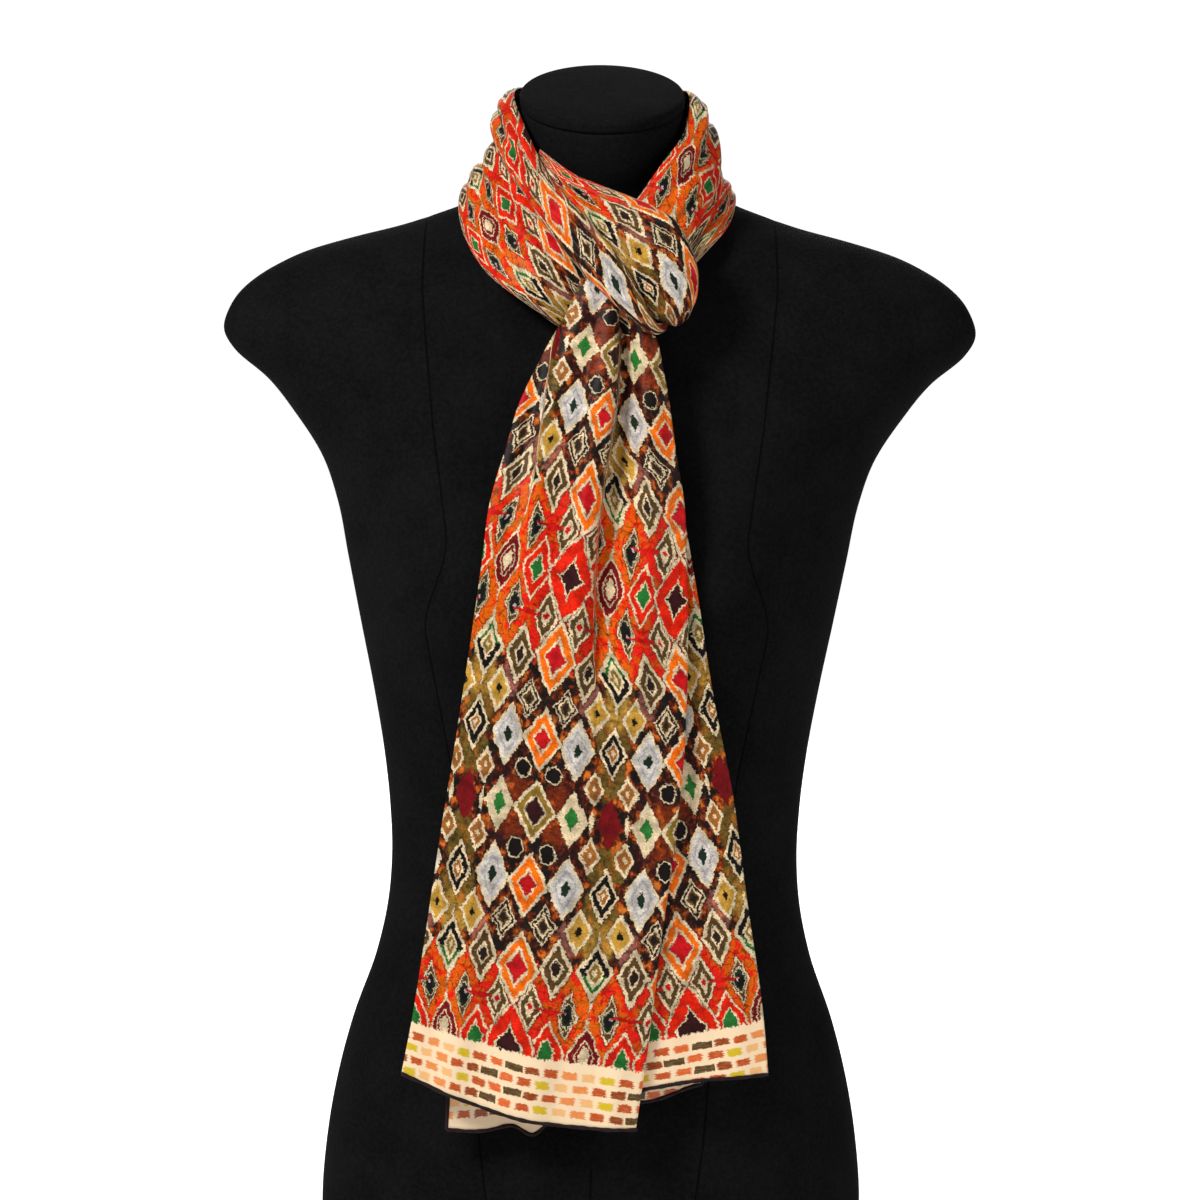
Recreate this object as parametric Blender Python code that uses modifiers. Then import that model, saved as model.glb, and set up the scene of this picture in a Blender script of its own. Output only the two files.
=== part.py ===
"""Ikat scarf looped round the neck of a limbless dress form.

One sub-part to an object, in metres, +Z up. The origin is at the middle of the flat base of the
dress form, and the front of the form looks towards -Y. Tables are in millimetres and are turned
to metres as they are read.
"""

import math

import bmesh
import bpy
import numpy as np

COLLECTION = "ikat_scarf_on_dress_form"
MM = 0.001

# Driving dimensions, in metres
CLOTH_WALL = 0.0012
SEAM_GAP = 0.0003
STRETCH_GAP = 0.0010
CAP_THICKNESS = 0.0075
CAP_OVERHANG = 0.0005
CAP_EDGE_ROUND = 0.0022

# The crown of a roll: 1 is a plain arc, and less is flatter. Past its edges a roll reaches
# behind them by more than it bulges.
CROWN_POWER = 0.85
RETURN_SHARE = 1.3

# How a fold fades at its two ends: 1 is a plain arch, and less keeps its depth for longer.
FOLD_FADE = 0.65

# The edges of a hanging end bend back from its middle as this power of the way out.
EDGE_BEND = 3

# The share of a hanging end at which its hem's sag begins.
HEM_SAG_START = 0.72

# A roll's direction at a place is read this many millimetres to each side of it.
DIRECTION_STEP = 1.0

# Mesh fineness
TORSO_AROUND = 36
CAP_AROUND = 32
ROLL_ACROSS = 12
ROLL_STEP = 0.0110
TAIL_ACROSS = 30
TAIL_ALONG = 22
TAIL_BACK_ACROSS = 14
TAIL_BACK_ALONG = 18

# The dress form in level sections from its base to its neck.
# half: half the width. front and back: how far it reaches from the shoulder line.
# middle: where it is widest. full: 2 is an ellipse, more is boxier, less is more pointed.
# tilt: how far the section leans forward, in degrees.
TORSO_COLUMNS = ("height", "half", "front", "back", "middle", "full", "tilt")
TORSO = (
    (0, 150, 92, 96, 4, 2.2, 0),
    (6, 158, 99, 103, 4, 2.2, 0),
    (25, 162, 103, 108, 4, 2.2, 0),
    (50, 163, 106, 111, 4, 2.2, 0),
    (85, 160.5, 107, 112, 4, 2.2, 0),
    (120, 155, 104, 108, 3, 2.2, 0),
    (160, 145, 98, 99, 2, 2.2, 0),
    (200, 131, 91, 87, 0, 2.2, 0),
    (232, 124, 87, 79, -2, 2.2, 0),
    (262, 121.8, 86, 75, -3, 2.2, 0),
    (290, 123, 89, 75, -3, 2.2, 0),
    (325, 127, 94, 80, -2, 2.2, 0),
    (362, 133.5, 99, 89, 0, 2.2, 0),
    (402, 141.7, 102, 97, 2, 2.2, 0),
    (440, 149.3, 101, 103, 4, 2.3, 0),
    (474, 156.2, 97, 106, 6, 2.4, 0),
    (500, 165.5, 92, 106, 8, 2.5, 0),
    (524, 181, 86, 104, 9, 2.6, 0),
    (546, 199, 79, 101, 10, 2.6, 0),
    (562, 218, 73, 98, 10, 2.6, 0),
    (573, 224.5, 69, 96, 10, 2.6, 0),
    (586, 222, 64, 92, 11, 2.5, 0),
    (600, 212, 58, 88, 12, 2.3, 0),
    (612, 195, 53, 85, 13, 2.1, 0),
    (622, 173.6, 48, 82, 14, 1.9, 0),
    (630, 147, 44, 79, 15, 1.75, 0),
    (637, 120, 41, 76, 16, 1.65, 0),
    (644, 98, 40, 73, 16, 1.6, 1),
    (651, 78, 41, 70, 16, 1.7, 3),
    (660, 62, 43, 67, 14, 1.9, 6),
    (673, 54, 47, 63, 9, 2.0, 10),
    (690, 50, 51, 59, 4, 2.0, 15),
    (709, 48.5, 55, 55, 0, 2.0, 18.8),
)

# Two soft swells give the front of a general dress form.
BUST = {"across": 76, "height": 428, "swell": 22, "wide": 40, "tall": 50, "side_fade": 0.5}

# The rolls of cloth round the neck, a row to a station. upper and lower are the two edges of the
# roll as seen from outside, and bulge is how far its middle stands out between them. The turns
# are how far the cloth goes round each edge, in degrees from the crown of the roll.
ROLL_COLUMNS = (
    "upper_x", "upper_y", "upper_z", "lower_x", "lower_y", "lower_z",
    "bulge", "upper_turn", "lower_turn",
)

# The upper roll, from behind the right of the knot round the neck and over the ends.
UPPER_ROLL = (
    (6, -64, 636, 34, -72, 598, 3, 85, 95),
    (18, -61, 650, 48, -68, 620, 4, 85, 96),
    (34, -52, 673, 58, -52, 641, 6, 85, 98),
    (47, -28, 692, 68, -20, 661, 7, 85, 98),
    (51, 4, 714, 68, 5, 682, 7, 85, 98),
    (38, 44, 719, 52, 58, 688, 8, 88, 98),
    (0, 61, 721, 0, 77, 690, 9, 90, 98),
    (-39, 44, 720, -53, 58, 692, 8, 88, 98),
    (-51.5, 4, 715, -64, 4, 693, 7, 85, 98),
    (-44, -32, 694, -56, -35, 672, 8, 88, 100),
    (-28.6, -62, 664, -39, -66, 647, 9, 90, 104),
    (-5, -86, 639, -20, -89, 622, 9, 92, 110),
    (13, -99, 616, -3, -101, 604, 9, 94, 122),
    (25, -105, 596, 14, -106, 588, 7, 92, 122),
    (32, -103, 583, 27, -105, 577, 5, 90, 112),
    (38, -94, 583, 34, -95, 577, 3, 88, 96),
)
RIGHT_SIDE_ROW, LEFT_SIDE_ROW = 4, 8

# The lower roll, from behind the right of the knot round the shoulders to the left of the knot.
# Its stations follow those of the upper roll, and its upper edge is tucked behind that roll's
# lower edge: tuck_in is how far inside it lies, and tuck_up how far above.
LOWER_COLUMNS = (
    "lower_x", "lower_y", "lower_z", "bulge", "upper_turn", "lower_turn", "tuck_in", "tuck_up",
)
LOWER_ROLL = (
    (30, -70, 588, 2, 80, 92, 7, 2),
    (44, -68, 604, 3, 80, 94, 7, 2),
    (60, -58, 621.5, 4, 80, 98, 8, 3),
    (75, -28, 638, 5, 80, 98, 9, 4),
    (79.5, 6, 652.6, 5, 80, 98, 9, 4),
    (67, 62, 643.5, 7, 80, 100, 9, 4),
    (0, 88, 629, 9, 80, 112, 9, 4),
    (-71, 62, 645.8, 8, 80, 100, 9, 4),
    (-83.5, 4, 651.6, 6, 80, 98, 9, 4),
    (-80, -38, 631, 7, 80, 104, 10, 4),
    (-65, -68, 609, 7, 80, 112, 11, 4),
    (-42, -82, 592, 6, 80, 112, 13, 4),
    (-24, -77.5, 579, 3, 80, 98, 19, 4),
)

# The cross roll, from under the left of the over roll to the bulge at the right of the knot.
CROSS_ROLL = (
    (-36, -43, 682, -38, -47, 672, 1, 88, 82),
    (-18, -57, 669, -29, -58, 655, 4, 94, 80),
    (0, -65, 661, -10, -76, 634, 6, 104, 80),
    (18, -72, 654, 2, -87, 620, 8, 114, 80),
    (32, -77, 648, 12, -93, 608, 10, 122, 80),
    (43, -82, 641, 18, -95, 600, 11, 127, 80),
    (51, -85, 628, 23.5, -95.5, 593.5, 12, 130, 80),
    (55.5, -85, 612, 27, -95.5, 588, 12, 130, 80),
    (54, -84, 600, 31.5, -93, 585, 11, 127, 80),
    (49.5, -82.5, 592, 37, -87, 583.5, 8, 118, 82),
    (44.5, -79, 588.5, 41, -82, 584.5, 4, 100, 84),
)

# Soft folds. run_start and run_end: where a fold starts and ends along its stretch of cloth, from
# 0 to 1. across_start and across_end: where it lies between the two edges at each end. wide: half
# its width, in parts of the width of a roll, and in millimetres on a hanging end. deep: in
# millimetres, and negative for a ridge.
FOLD_COLUMNS = ("run_start", "run_end", "across_start", "across_end", "wide", "deep")
UPPER_FOLDS = (
    (0.02, 0.36, 0.30, 0.66, 0.09, 3.2),
    (0.16, 0.44, 0.66, 0.36, 0.07, 2.0),
    (0.36, 0.66, 0.40, 0.58, 0.10, 3.0),
    (0.56, 0.86, 0.64, 0.38, 0.10, 3.0),
    (0.78, 0.99, 0.66, 0.62, 0.10, 2.0),
)
LOWER_FOLDS = (
    (0.02, 0.36, 0.50, 0.64, 0.09, 2.6),
    (0.26, 0.54, 0.66, 0.44, 0.09, 3.6),
    (0.40, 0.66, 0.34, 0.70, 0.08, 3.0),
    (0.56, 0.90, 0.40, 0.60, 0.07, 3.4),
    (0.68, 0.99, 0.72, 0.40, 0.07, 3.0),
)
CROSS_FOLDS = (
    (0.10, 0.86, 0.52, 0.34, 0.07, 3.2),
    (0.36, 0.98, 0.80, 0.58, 0.07, 3.2),
    (0.55, 0.97, 0.22, 0.16, 0.06, 1.6),
)

# The hanging ends, a row to a section from the knot to the hem.
TAIL_COLUMNS = ("left_x", "left_z", "right_x", "right_z", "front_y", "edge_drop")
TAIL_FRONT = (
    (-11, 608, 18, 598, -89, 2),
    (-20, 586, 26, 584, -95, 3),
    (-28.4, 572, 31.5, 570, -100, 5),
    (-37, 555, 34.8, 555, -106, 7),
    (-45, 538, 38, 538, -112, 8),
    (-53.3, 510, 42, 510, -119, 8),
    (-61.5, 481, 47, 481, -126, 6),
    (-66, 445, 49, 445, -130, 4),
    (-72, 400, 50, 400, -132, 3),
    (-80, 344, 49, 344, -132, 3),
    (-89, 285, 44, 285, -131, 3),
    (-97, 228, 37, 230, -130, 3),
    (-103.6, 184, 31, 175, -130, 3),
    (-109.8, 150.2, 23.4, 118.4, -130, 3),
)
TAIL_RIGHT = (
    (10, 556, 33, 556, -91, 2),
    (14, 538, 37.8, 538, -96, 2),
    (17, 510, 43.2, 510, -104, 3),
    (20, 481, 48, 481, -112, 3),
    (22, 426, 58, 426, -121.5, 3),
    (20, 369, 67.6, 369, -122.5, 3),
    (18, 315, 79, 315, -122, 3),
    (12, 254, 88, 254, -121.5, 3),
    (2, 190, 98, 190, -121, 3),
    (-8, 132, 102, 150, -121, 3),
)
TAIL_BACK = (
    (-8, 590, 16, 588, -78, 1),
    (-20, 565, 26, 565, -83, 1),
    (-34, 538, 34, 538, -91, 1),
    (-44, 510, 38, 510, -99, 1),
    (-52, 481, 43, 481, -107.5, 1),
    (-58, 426, 50, 426, -115.5, 0),
    (-66, 344, 56, 344, -117, 1),
    (-75, 254, 60, 254, -116, 2),
    (-81, 184, 62, 190, -116, 2),
    (-84, 116, 64, 134, -116, 2),
)

# How much lower the middle of each hem hangs than the line between its two corners.
HEM_SAG = {"front": 9, "right": -3, "back": 0}

# Waves in the hem of the back end. across: the middle of the wave. wide: its half width.
# low: how much lower it hangs.
HEM_WAVE_COLUMNS = ("across", "wide", "low")
BACK_HEM_WAVES = ((0.14, 0.13, 4), (0.34, 0.06, 9), (0.62, 0.14, -5))

# The right edge of the front end turns under itself in a round fold.
EDGE_FOLD_RADIUS = 2.4
EDGE_FOLD_RETURN = 16
EDGE_FOLD_SHARE = 0.26

# Folds down the ends, from the knot at 0 to the hem at 1.
TAIL_FRONT_FOLDS = (
    (-0.10, 0.46, 0.74, 0.70, 4.0, 8.0),
    (-0.02, 0.50, 0.02, 0.24, 4.0, 5.0),
    (0.12, 0.70, 0.52, 0.62, 4.5, 3.5),
    (0.30, 1.20, 0.34, 0.30, 13.0, 2.6),
    (0.45, 1.25, 0.82, 0.74, 12.0, 2.4),
    (0.55, 1.30, 0.56, 0.52, 13.0, -2.4),
)
TAIL_RIGHT_FOLDS = (
    (0.10, 1.20, 0.62, 0.60, 9.0, 2.6),
    (0.40, 1.30, 0.86, 0.84, 9.0, -2.0),
)
TAIL_BACK_FOLDS = (
    (0.35, 1.30, 0.26, 0.27, 7.0, 2.6),
    (0.20, 1.20, 0.60, 0.62, 12.0, 2.0),
)

# Colours as linear red, green, blue, with roughness
FINISHES = {
    "black_jersey": ((0.012, 0.012, 0.013, 1.0), 0.92),
    "black_cap": ((0.010, 0.010, 0.011, 1.0), 0.90),
    "printed_silk": ((0.62, 0.19, 0.06, 1.0), 0.42),
    "printed_silk_light": ((0.72, 0.42, 0.22, 1.0), 0.42),
}


def clear_scene():
    """Removes every object, mesh and material that the file opened with."""
    for item in list(bpy.data.objects):
        bpy.data.objects.remove(item, do_unlink=True)
    for mesh in list(bpy.data.meshes):
        bpy.data.meshes.remove(mesh)
    for material in list(bpy.data.materials):
        bpy.data.materials.remove(material)


def finish(name):
    """The material of this name, made on first use."""
    material = bpy.data.materials.get(name)
    if material is None:
        colour, roughness = FINISHES[name]
        material = bpy.data.materials.new(name)
        material.use_nodes = True
        shader = material.node_tree.nodes["Principled BSDF"]
        shader.inputs["Base Color"].default_value = colour
        shader.inputs["Roughness"].default_value = roughness
        shader.inputs["Metallic"].default_value = 0.0
        material.diffuse_color = colour
    return material


def object_from(name, shape, material_name):
    """Puts a bmesh into a named, smooth-shaded object of the part's collection."""
    mesh = bpy.data.meshes.new(name)
    shape.to_mesh(mesh)
    shape.free()
    mesh.shade_smooth()
    mesh.materials.append(finish(material_name))
    item = bpy.data.objects.new(name, mesh)
    bpy.data.collections[COLLECTION].objects.link(item)
    return item


def column(table, columns, name):
    """One named column of a table."""
    return np.array([row[columns.index(name)] for row in table], float)


def smooth_through(places, values, at):
    """A smooth curve that passes through each value at its place, read at the places asked for."""
    steps = np.diff(places)
    slopes = np.diff(values) / steps
    tangents = np.empty_like(values)
    tangents[1:-1] = (slopes[1:] * steps[:-1] + slopes[:-1] * steps[1:]) / (steps[1:] + steps[:-1])
    tangents[0], tangents[-1] = slopes[0], slopes[-1]
    index = np.clip(np.searchsorted(places, at, side="right") - 1, 0, len(steps) - 1)
    step = steps[index]
    t = (at - places[index]) / step
    start, end = values[index], values[index + 1]
    rise, fall = tangents[index] * step, tangents[index + 1] * step
    return (
        start * (2 * t**3 - 3 * t**2 + 1)
        + rise * (t**3 - 2 * t**2 + t)
        + end * (3 * t**2 - 2 * t**3)
        + fall * (t**3 - t**2)
    )


def ramp(value, low, high):
    """0 below low, 1 above high, and a soft step between them."""
    t = np.clip((value - low) / (high - low), 0, 1)
    return t * t * (3 - 2 * t)


def superellipse(angle, full):
    """A point of a rounded outline of unit size."""
    c, s = np.cos(angle), np.sin(angle)
    power = 2 / full
    return np.sign(c) * np.abs(c) ** power, np.sign(s) * np.abs(s) ** power


def torso_point(height, angle):
    """A point of the dress form's skin, in millimetres, by height and angle round it."""
    heights = column(TORSO, TORSO_COLUMNS, "height")
    size = {
        name: smooth_through(heights, column(TORSO, TORSO_COLUMNS, name), height)
        for name in TORSO_COLUMNS[1:]
    }
    across, deep = superellipse(angle, size["full"])
    x = across * size["half"]
    reach = np.where(deep < 0, size["front"] + size["middle"], size["back"] - size["middle"])
    y = size["middle"] + deep * reach
    side = (np.abs(x) - BUST["across"]) / BUST["wide"]
    rise = (height - BUST["height"]) / BUST["tall"]
    y = y - BUST["swell"] * np.exp(-(side**2) - rise**2) * ramp(-deep, 0, BUST["side_fade"])
    z = height + y * np.tan(np.radians(size["tilt"]))
    return x, y, z


def torso_middle(height):
    """The middle of a level section, which is the middle of four points round it."""
    quarters = np.arange(4) * math.pi / 2
    return np.mean([torso_point(height, angle) for angle in quarters], axis=0)


def make_torso():
    """A closed loft through the level sections, flat at its base and at the top of its neck.
    Each ring of a sphere becomes a section, and its poles the middles of the two ends."""
    shape = bmesh.new()
    levels = len(TORSO)
    bmesh.ops.create_uvsphere(shape, u_segments=TORSO_AROUND, v_segments=levels + 1, radius=1)
    heights = column(TORSO, TORSO_COLUMNS, "height")
    for vertex in shape.verts:
        from_top = math.acos(max(-1.0, min(1.0, vertex.co.z))) / math.pi * (levels + 1)
        row = levels - round(from_top)
        angle = math.atan2(vertex.co.y, vertex.co.x)
        if row < 0:
            place = torso_middle(heights[0])
        elif row >= levels:
            place = torso_middle(heights[-1])
        else:
            place = np.array(torso_point(heights[row], angle))
        vertex.co = place * MM
    bmesh.ops.recalc_face_normals(shape, faces=shape.faces)
    return object_from("form_torso", shape, "black_jersey")


def make_neck_cap():
    """The covered disc that closes the neck, leaning forward with it."""
    top = dict(zip(TORSO_COLUMNS, TORSO[-1]))
    half = top["half"] * MM + CAP_OVERHANG
    reach = (top["front"] + top["back"]) / 2 * MM + CAP_OVERHANG
    lean = math.radians(top["tilt"])
    shape = bmesh.new()
    bmesh.ops.create_cone(
        shape, cap_ends=True, segments=CAP_AROUND, radius1=1, radius2=1, depth=CAP_THICKNESS
    )
    for vertex in shape.verts:
        vertex.co.x *= half
        vertex.co.y *= reach / math.cos(lean)
        vertex.co.z += CAP_THICKNESS / 2 + SEAM_GAP
    item = object_from("form_neck_cap", shape, "black_cap")
    item.location = (0, 0, top["height"] * MM)
    item.rotation_euler = (lean, 0, 0)
    edge = item.modifiers.new("rounded rim", "BEVEL")
    edge.width = CAP_EDGE_ROUND
    edge.segments = 2
    edge.limit_method = "ANGLE"
    return item


def trough(offset, wide, deep):
    """A soft trough of this half width and depth."""
    return deep * np.exp(-((offset / wide) ** 2))


def fold_depth(folds, run, across, width):
    """How deep the folds lie at these shares of the run and of the way across."""
    depth = 0
    for fold in folds:
        row = dict(zip(FOLD_COLUMNS, fold))
        t = np.clip((run - row["run_start"]) / (row["run_end"] - row["run_start"]), 0, 1)
        middle = row["across_start"] + (row["across_end"] - row["across_start"]) * t
        fade = np.sin(np.pi * t) ** FOLD_FADE
        depth = depth + trough((across - middle) * width, row["wide"], row["deep"]) * fade
    return depth


def roll_stations(rows):
    """The distance of each station along the middle of a roll, and the columns as arrays."""
    columns = {name: column(rows, ROLL_COLUMNS, name) for name in ROLL_COLUMNS}
    middle = np.stack(
        [(columns[f"upper_{axis}"] + columns[f"lower_{axis}"]) / 2 for axis in "xyz"], axis=1
    )
    steps = np.linalg.norm(np.diff(middle, axis=0), axis=1)
    return np.concatenate([[0], np.cumsum(steps)]), columns


def roll_edges(rows, distance):
    """The upper and the lower edge of a roll at these distances along it."""
    places, columns = roll_stations(rows)
    return [
        np.stack(
            [smooth_through(places, columns[f"{edge}_{axis}"], distance) for axis in "xyz"], axis=-1
        )
        for edge in ("upper", "lower")
    ]


def unit(vectors):
    return vectors / np.linalg.norm(vectors, axis=-1, keepdims=True)


def roll_frame(rows, distance):
    """The two edges of a roll, with the directions over it and out of it."""
    length = roll_stations(rows)[0][-1]
    upper, lower = roll_edges(rows, distance)
    along = sum(roll_edges(rows, np.clip(distance + DIRECTION_STEP, 0, length)))
    along = along - sum(roll_edges(rows, np.clip(distance - DIRECTION_STEP, 0, length)))
    return upper, lower, unit(lower - upper), unit(np.cross(lower - upper, along))


def lower_roll_rows():
    """The lower roll's stations, with its upper edge tucked behind the upper roll."""
    places = roll_stations(UPPER_ROLL)[0][: len(LOWER_ROLL)]
    _, lower, over, out = roll_frame(UPPER_ROLL, places)
    tuck_in = column(LOWER_ROLL, LOWER_COLUMNS, "tuck_in")[:, None]
    tuck_up = column(LOWER_ROLL, LOWER_COLUMNS, "tuck_up")[:, None]
    upper = lower - out * tuck_in - over * tuck_up
    return tuple((*edge, *row[:6]) for edge, row in zip(upper, LOWER_ROLL))


def roll_point(rows, folds, share, across):
    """A point of a roll of cloth, in millimetres. share runs along it and across runs over it,
    each from 0 to 1."""
    places, columns = roll_stations(rows)
    distance = share * places[-1]
    upper, lower, over, out = roll_frame(rows, distance)
    bulge, upper_turn, lower_turn = (
        smooth_through(places, columns[name], distance) for name in ROLL_COLUMNS[-3:]
    )
    angle = np.radians((upper_turn + lower_turn) * across - upper_turn)
    half = np.linalg.norm(lower - upper, axis=-1) / 2
    cosine, sine = np.cos(angle), np.sin(angle)
    depth = bulge * np.where(cosine > 0, 1, -RETURN_SHARE) * np.abs(cosine) ** CROWN_POWER
    depth = depth - fold_depth(folds, share, (sine + 1) / 2, 1)
    middle = (upper + lower) / 2
    return middle + over * (half * sine)[..., None] + out * depth[..., None]


def cloth_sheet(name, point_at, along, across, material_name):
    """A wall of cloth over a grid. point_at gives millimetres for each share along and across."""
    shape = bmesh.new()
    bmesh.ops.create_grid(shape, x_segments=along, y_segments=across, size=0.5)
    share = np.array([vertex.co.x + 0.5 for vertex in shape.verts])
    over = np.array([vertex.co.y + 0.5 for vertex in shape.verts])
    places = point_at(share, over) * MM
    for vertex, place in zip(shape.verts, places):
        vertex.co = place
    item = object_from(name, shape, material_name)
    wall = item.modifiers.new("cloth wall", "SOLIDIFY")
    wall.thickness = CLOTH_WALL
    wall.offset = -1
    wall.use_even_offset = False
    return item


def make_roll(name, rows, folds, start_row, end_row, material_name):
    """One stretch of a roll, from one station to another, with half of the gap between
    stretches off an end that meets the next one."""
    places = roll_stations(rows)[0]
    half_gap = STRETCH_GAP / MM / 2
    start = places[start_row] + (half_gap if start_row > 0 else 0)
    end = places[end_row] - (half_gap if end_row < len(rows) - 1 else 0)

    def point_at(share, across):
        return roll_point(rows, folds, (start + (end - start) * share) / places[-1], 1 - across)

    steps = max(8, round((end - start) * MM / ROLL_STEP))
    return cloth_sheet(name, point_at, steps, ROLL_ACROSS, material_name)


def make_rolls():
    """The stretches of cloth round the neck."""
    lower_rows = lower_roll_rows()
    last_upper, last_lower, last_cross = len(UPPER_ROLL) - 1, len(LOWER_ROLL) - 1, len(CROSS_ROLL) - 1
    upper = (UPPER_ROLL, UPPER_FOLDS)
    lower = (lower_rows, LOWER_FOLDS)
    cross = (CROSS_ROLL, CROSS_FOLDS)
    stretches = (
        ("scarf_wrap_right_top", *upper, 0, RIGHT_SIDE_ROW, "printed_silk"),
        ("scarf_wrap_back_top", *upper, RIGHT_SIDE_ROW, LEFT_SIDE_ROW, "printed_silk"),
        ("scarf_loop_over", *upper, LEFT_SIDE_ROW, last_upper, "printed_silk_light"),
        ("scarf_wrap_right_low", *lower, 0, RIGHT_SIDE_ROW, "printed_silk"),
        ("scarf_wrap_back_low", *lower, RIGHT_SIDE_ROW, LEFT_SIDE_ROW, "printed_silk_light"),
        ("scarf_wrap_left", *lower, LEFT_SIDE_ROW, last_lower, "printed_silk"),
        ("scarf_loop_right", *cross, 0, last_cross, "printed_silk"),
    )
    for stretch in stretches:
        make_roll(*stretch)


def tail_point(rows, folds, hem_sag, hem_waves, edge_fold, down, across):
    """A point of a hanging end, in millimetres. down runs from the knot to the hem and across
    from its left edge to its right one."""
    left = np.stack([column(rows, TAIL_COLUMNS, name) for name in ("left_x", "left_z")], axis=1)
    right = np.stack([column(rows, TAIL_COLUMNS, name) for name in ("right_x", "right_z")], axis=1)
    steps = np.linalg.norm(np.diff((left + right) / 2, axis=0), axis=1)
    places = np.concatenate([[0], np.cumsum(steps)]) / steps.sum()
    size = {
        name: smooth_through(places, column(rows, TAIL_COLUMNS, name), down)
        for name in TAIL_COLUMNS
    }
    flat = np.clip(across / (1 - edge_fold), 0, 1) if edge_fold else across
    x = size["left_x"] + (size["right_x"] - size["left_x"]) * flat
    z = size["left_z"] + (size["right_z"] - size["left_z"]) * flat
    low = hem_sag * np.sin(np.pi * flat)
    for wave in hem_waves:
        row = dict(zip(HEM_WAVE_COLUMNS, wave))
        low = low + trough(flat - row["across"], row["wide"], row["low"])
    z = z - low * ramp(down, HEM_SAG_START, 1)
    y = size["front_y"] + size["edge_drop"] * np.abs(2 * flat - 1) ** EDGE_BEND
    y = y + fold_depth(folds, down, flat, size["right_x"] - size["left_x"])
    if edge_fold:
        beyond = np.clip((across - (1 - edge_fold)) / edge_fold, 0, 1)
        run = beyond * (math.pi * EDGE_FOLD_RADIUS + EDGE_FOLD_RETURN)
        turn = np.clip(run / EDGE_FOLD_RADIUS, 0, math.pi)
        back = np.clip(run - math.pi * EDGE_FOLD_RADIUS, 0, None)
        x = x + EDGE_FOLD_RADIUS * np.sin(turn) - back
        y = y + EDGE_FOLD_RADIUS * (1 - np.cos(turn))
    return np.stack([x, y, z], axis=-1)


def make_tail(name, rows, folds, hem_sag, hem_waves, edge_fold, along, across, material_name):
    """One stretch of the hanging ends."""

    def point_at(down, over):
        return tail_point(rows, folds, hem_sag, hem_waves, edge_fold, down, over)

    cloth_sheet(name, point_at, along, across, material_name)


def make_tails():
    """The two hanging ends: the front one in two stretches, and the back one behind them."""
    make_tail(
        "scarf_tail_front", TAIL_FRONT, TAIL_FRONT_FOLDS, HEM_SAG["front"], (), EDGE_FOLD_SHARE,
        TAIL_ALONG, TAIL_ACROSS, "printed_silk",
    )
    make_tail(
        "scarf_tail_right", TAIL_RIGHT, TAIL_RIGHT_FOLDS, HEM_SAG["right"], (), 0,
        TAIL_BACK_ALONG, TAIL_BACK_ACROSS, "printed_silk_light",
    )
    make_tail(
        "scarf_tail_back", TAIL_BACK, TAIL_BACK_FOLDS, HEM_SAG["back"], BACK_HEM_WAVES, 0,
        TAIL_BACK_ALONG, TAIL_BACK_ACROSS, "printed_silk",
    )


def main():
    clear_scene()
    collection = bpy.data.collections.new(COLLECTION)
    bpy.context.scene.collection.children.link(collection)
    make_torso()
    make_neck_cap()
    make_rolls()
    make_tails()


main()
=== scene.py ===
"""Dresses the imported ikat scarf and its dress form, and sets up the picture.

The front of the form looks towards -Y, and +Z is up. Tables are in millimetres and are turned to
metres as they are read. The print is laid on the cloth's own coordinates: a column is half a
repeat across the cloth, and rows are millimetres along it from the hem.
"""

import math

import bmesh
import bpy
import numpy as np
from mathutils import Matrix, Vector


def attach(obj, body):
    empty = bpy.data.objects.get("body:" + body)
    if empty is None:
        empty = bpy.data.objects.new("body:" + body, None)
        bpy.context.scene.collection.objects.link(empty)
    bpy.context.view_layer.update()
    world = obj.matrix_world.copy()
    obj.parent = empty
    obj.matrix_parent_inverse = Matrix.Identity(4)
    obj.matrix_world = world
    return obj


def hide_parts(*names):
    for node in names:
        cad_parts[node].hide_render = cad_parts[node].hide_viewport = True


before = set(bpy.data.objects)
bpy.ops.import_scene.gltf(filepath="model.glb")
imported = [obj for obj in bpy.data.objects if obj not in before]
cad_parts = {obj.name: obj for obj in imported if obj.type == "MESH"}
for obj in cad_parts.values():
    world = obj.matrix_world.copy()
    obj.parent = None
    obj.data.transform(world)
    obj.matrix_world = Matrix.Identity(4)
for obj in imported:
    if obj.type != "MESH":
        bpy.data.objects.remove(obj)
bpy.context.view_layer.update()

bl_info = {
    "name": "Ikat scarf on a dress form",
    "version": (1, 0, 0),
    "blender": (4, 5, 0),
    "location": "3D View > Sidebar > Scarf",
    "description": "Builds a printed silk scarf, looped round the neck of a dress form",
    "category": "Object",
}

MM = 0.001
BODY = "root"
# Points nearer to each other than this, in metres, are one point.
SAME_POINT = 1e-6

# How a roll of cloth is shaped, as in the part's own solids.
CROWN_POWER = 0.85
RETURN_SHARE = 1.3
FOLD_FADE = 0.65
EDGE_BEND = 3
HEM_SAG_START = 0.72
DIRECTION_STEP = 1.0

# Mesh fineness
FORM_AROUND, FORM_LEVELS = 300, 230
UPPER_ALONG, UPPER_ACROSS = 420, 72
LOWER_ALONG, LOWER_ACROSS = 400, 64
CROSS_ALONG, CROSS_ACROSS = 170, 90
FRONT_DOWN, FRONT_ACROSS = 250, 160
RIGHT_DOWN, RIGHT_ACROSS = 200, 84
BACK_DOWN, BACK_ACROSS = 180, 110
HEM_ALONG, HEM_AROUND = 260, 10
# How far apart along a hem, as a share of its length, the points are that give its direction.
HEM_STEP = 0.001
# How uneven a hem's roll is: how far each wave swells it, how fast it comes round, and its start.
HEM_SWELLS = ((0.12, 61, 0), (0.08, 143, 1))

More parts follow.
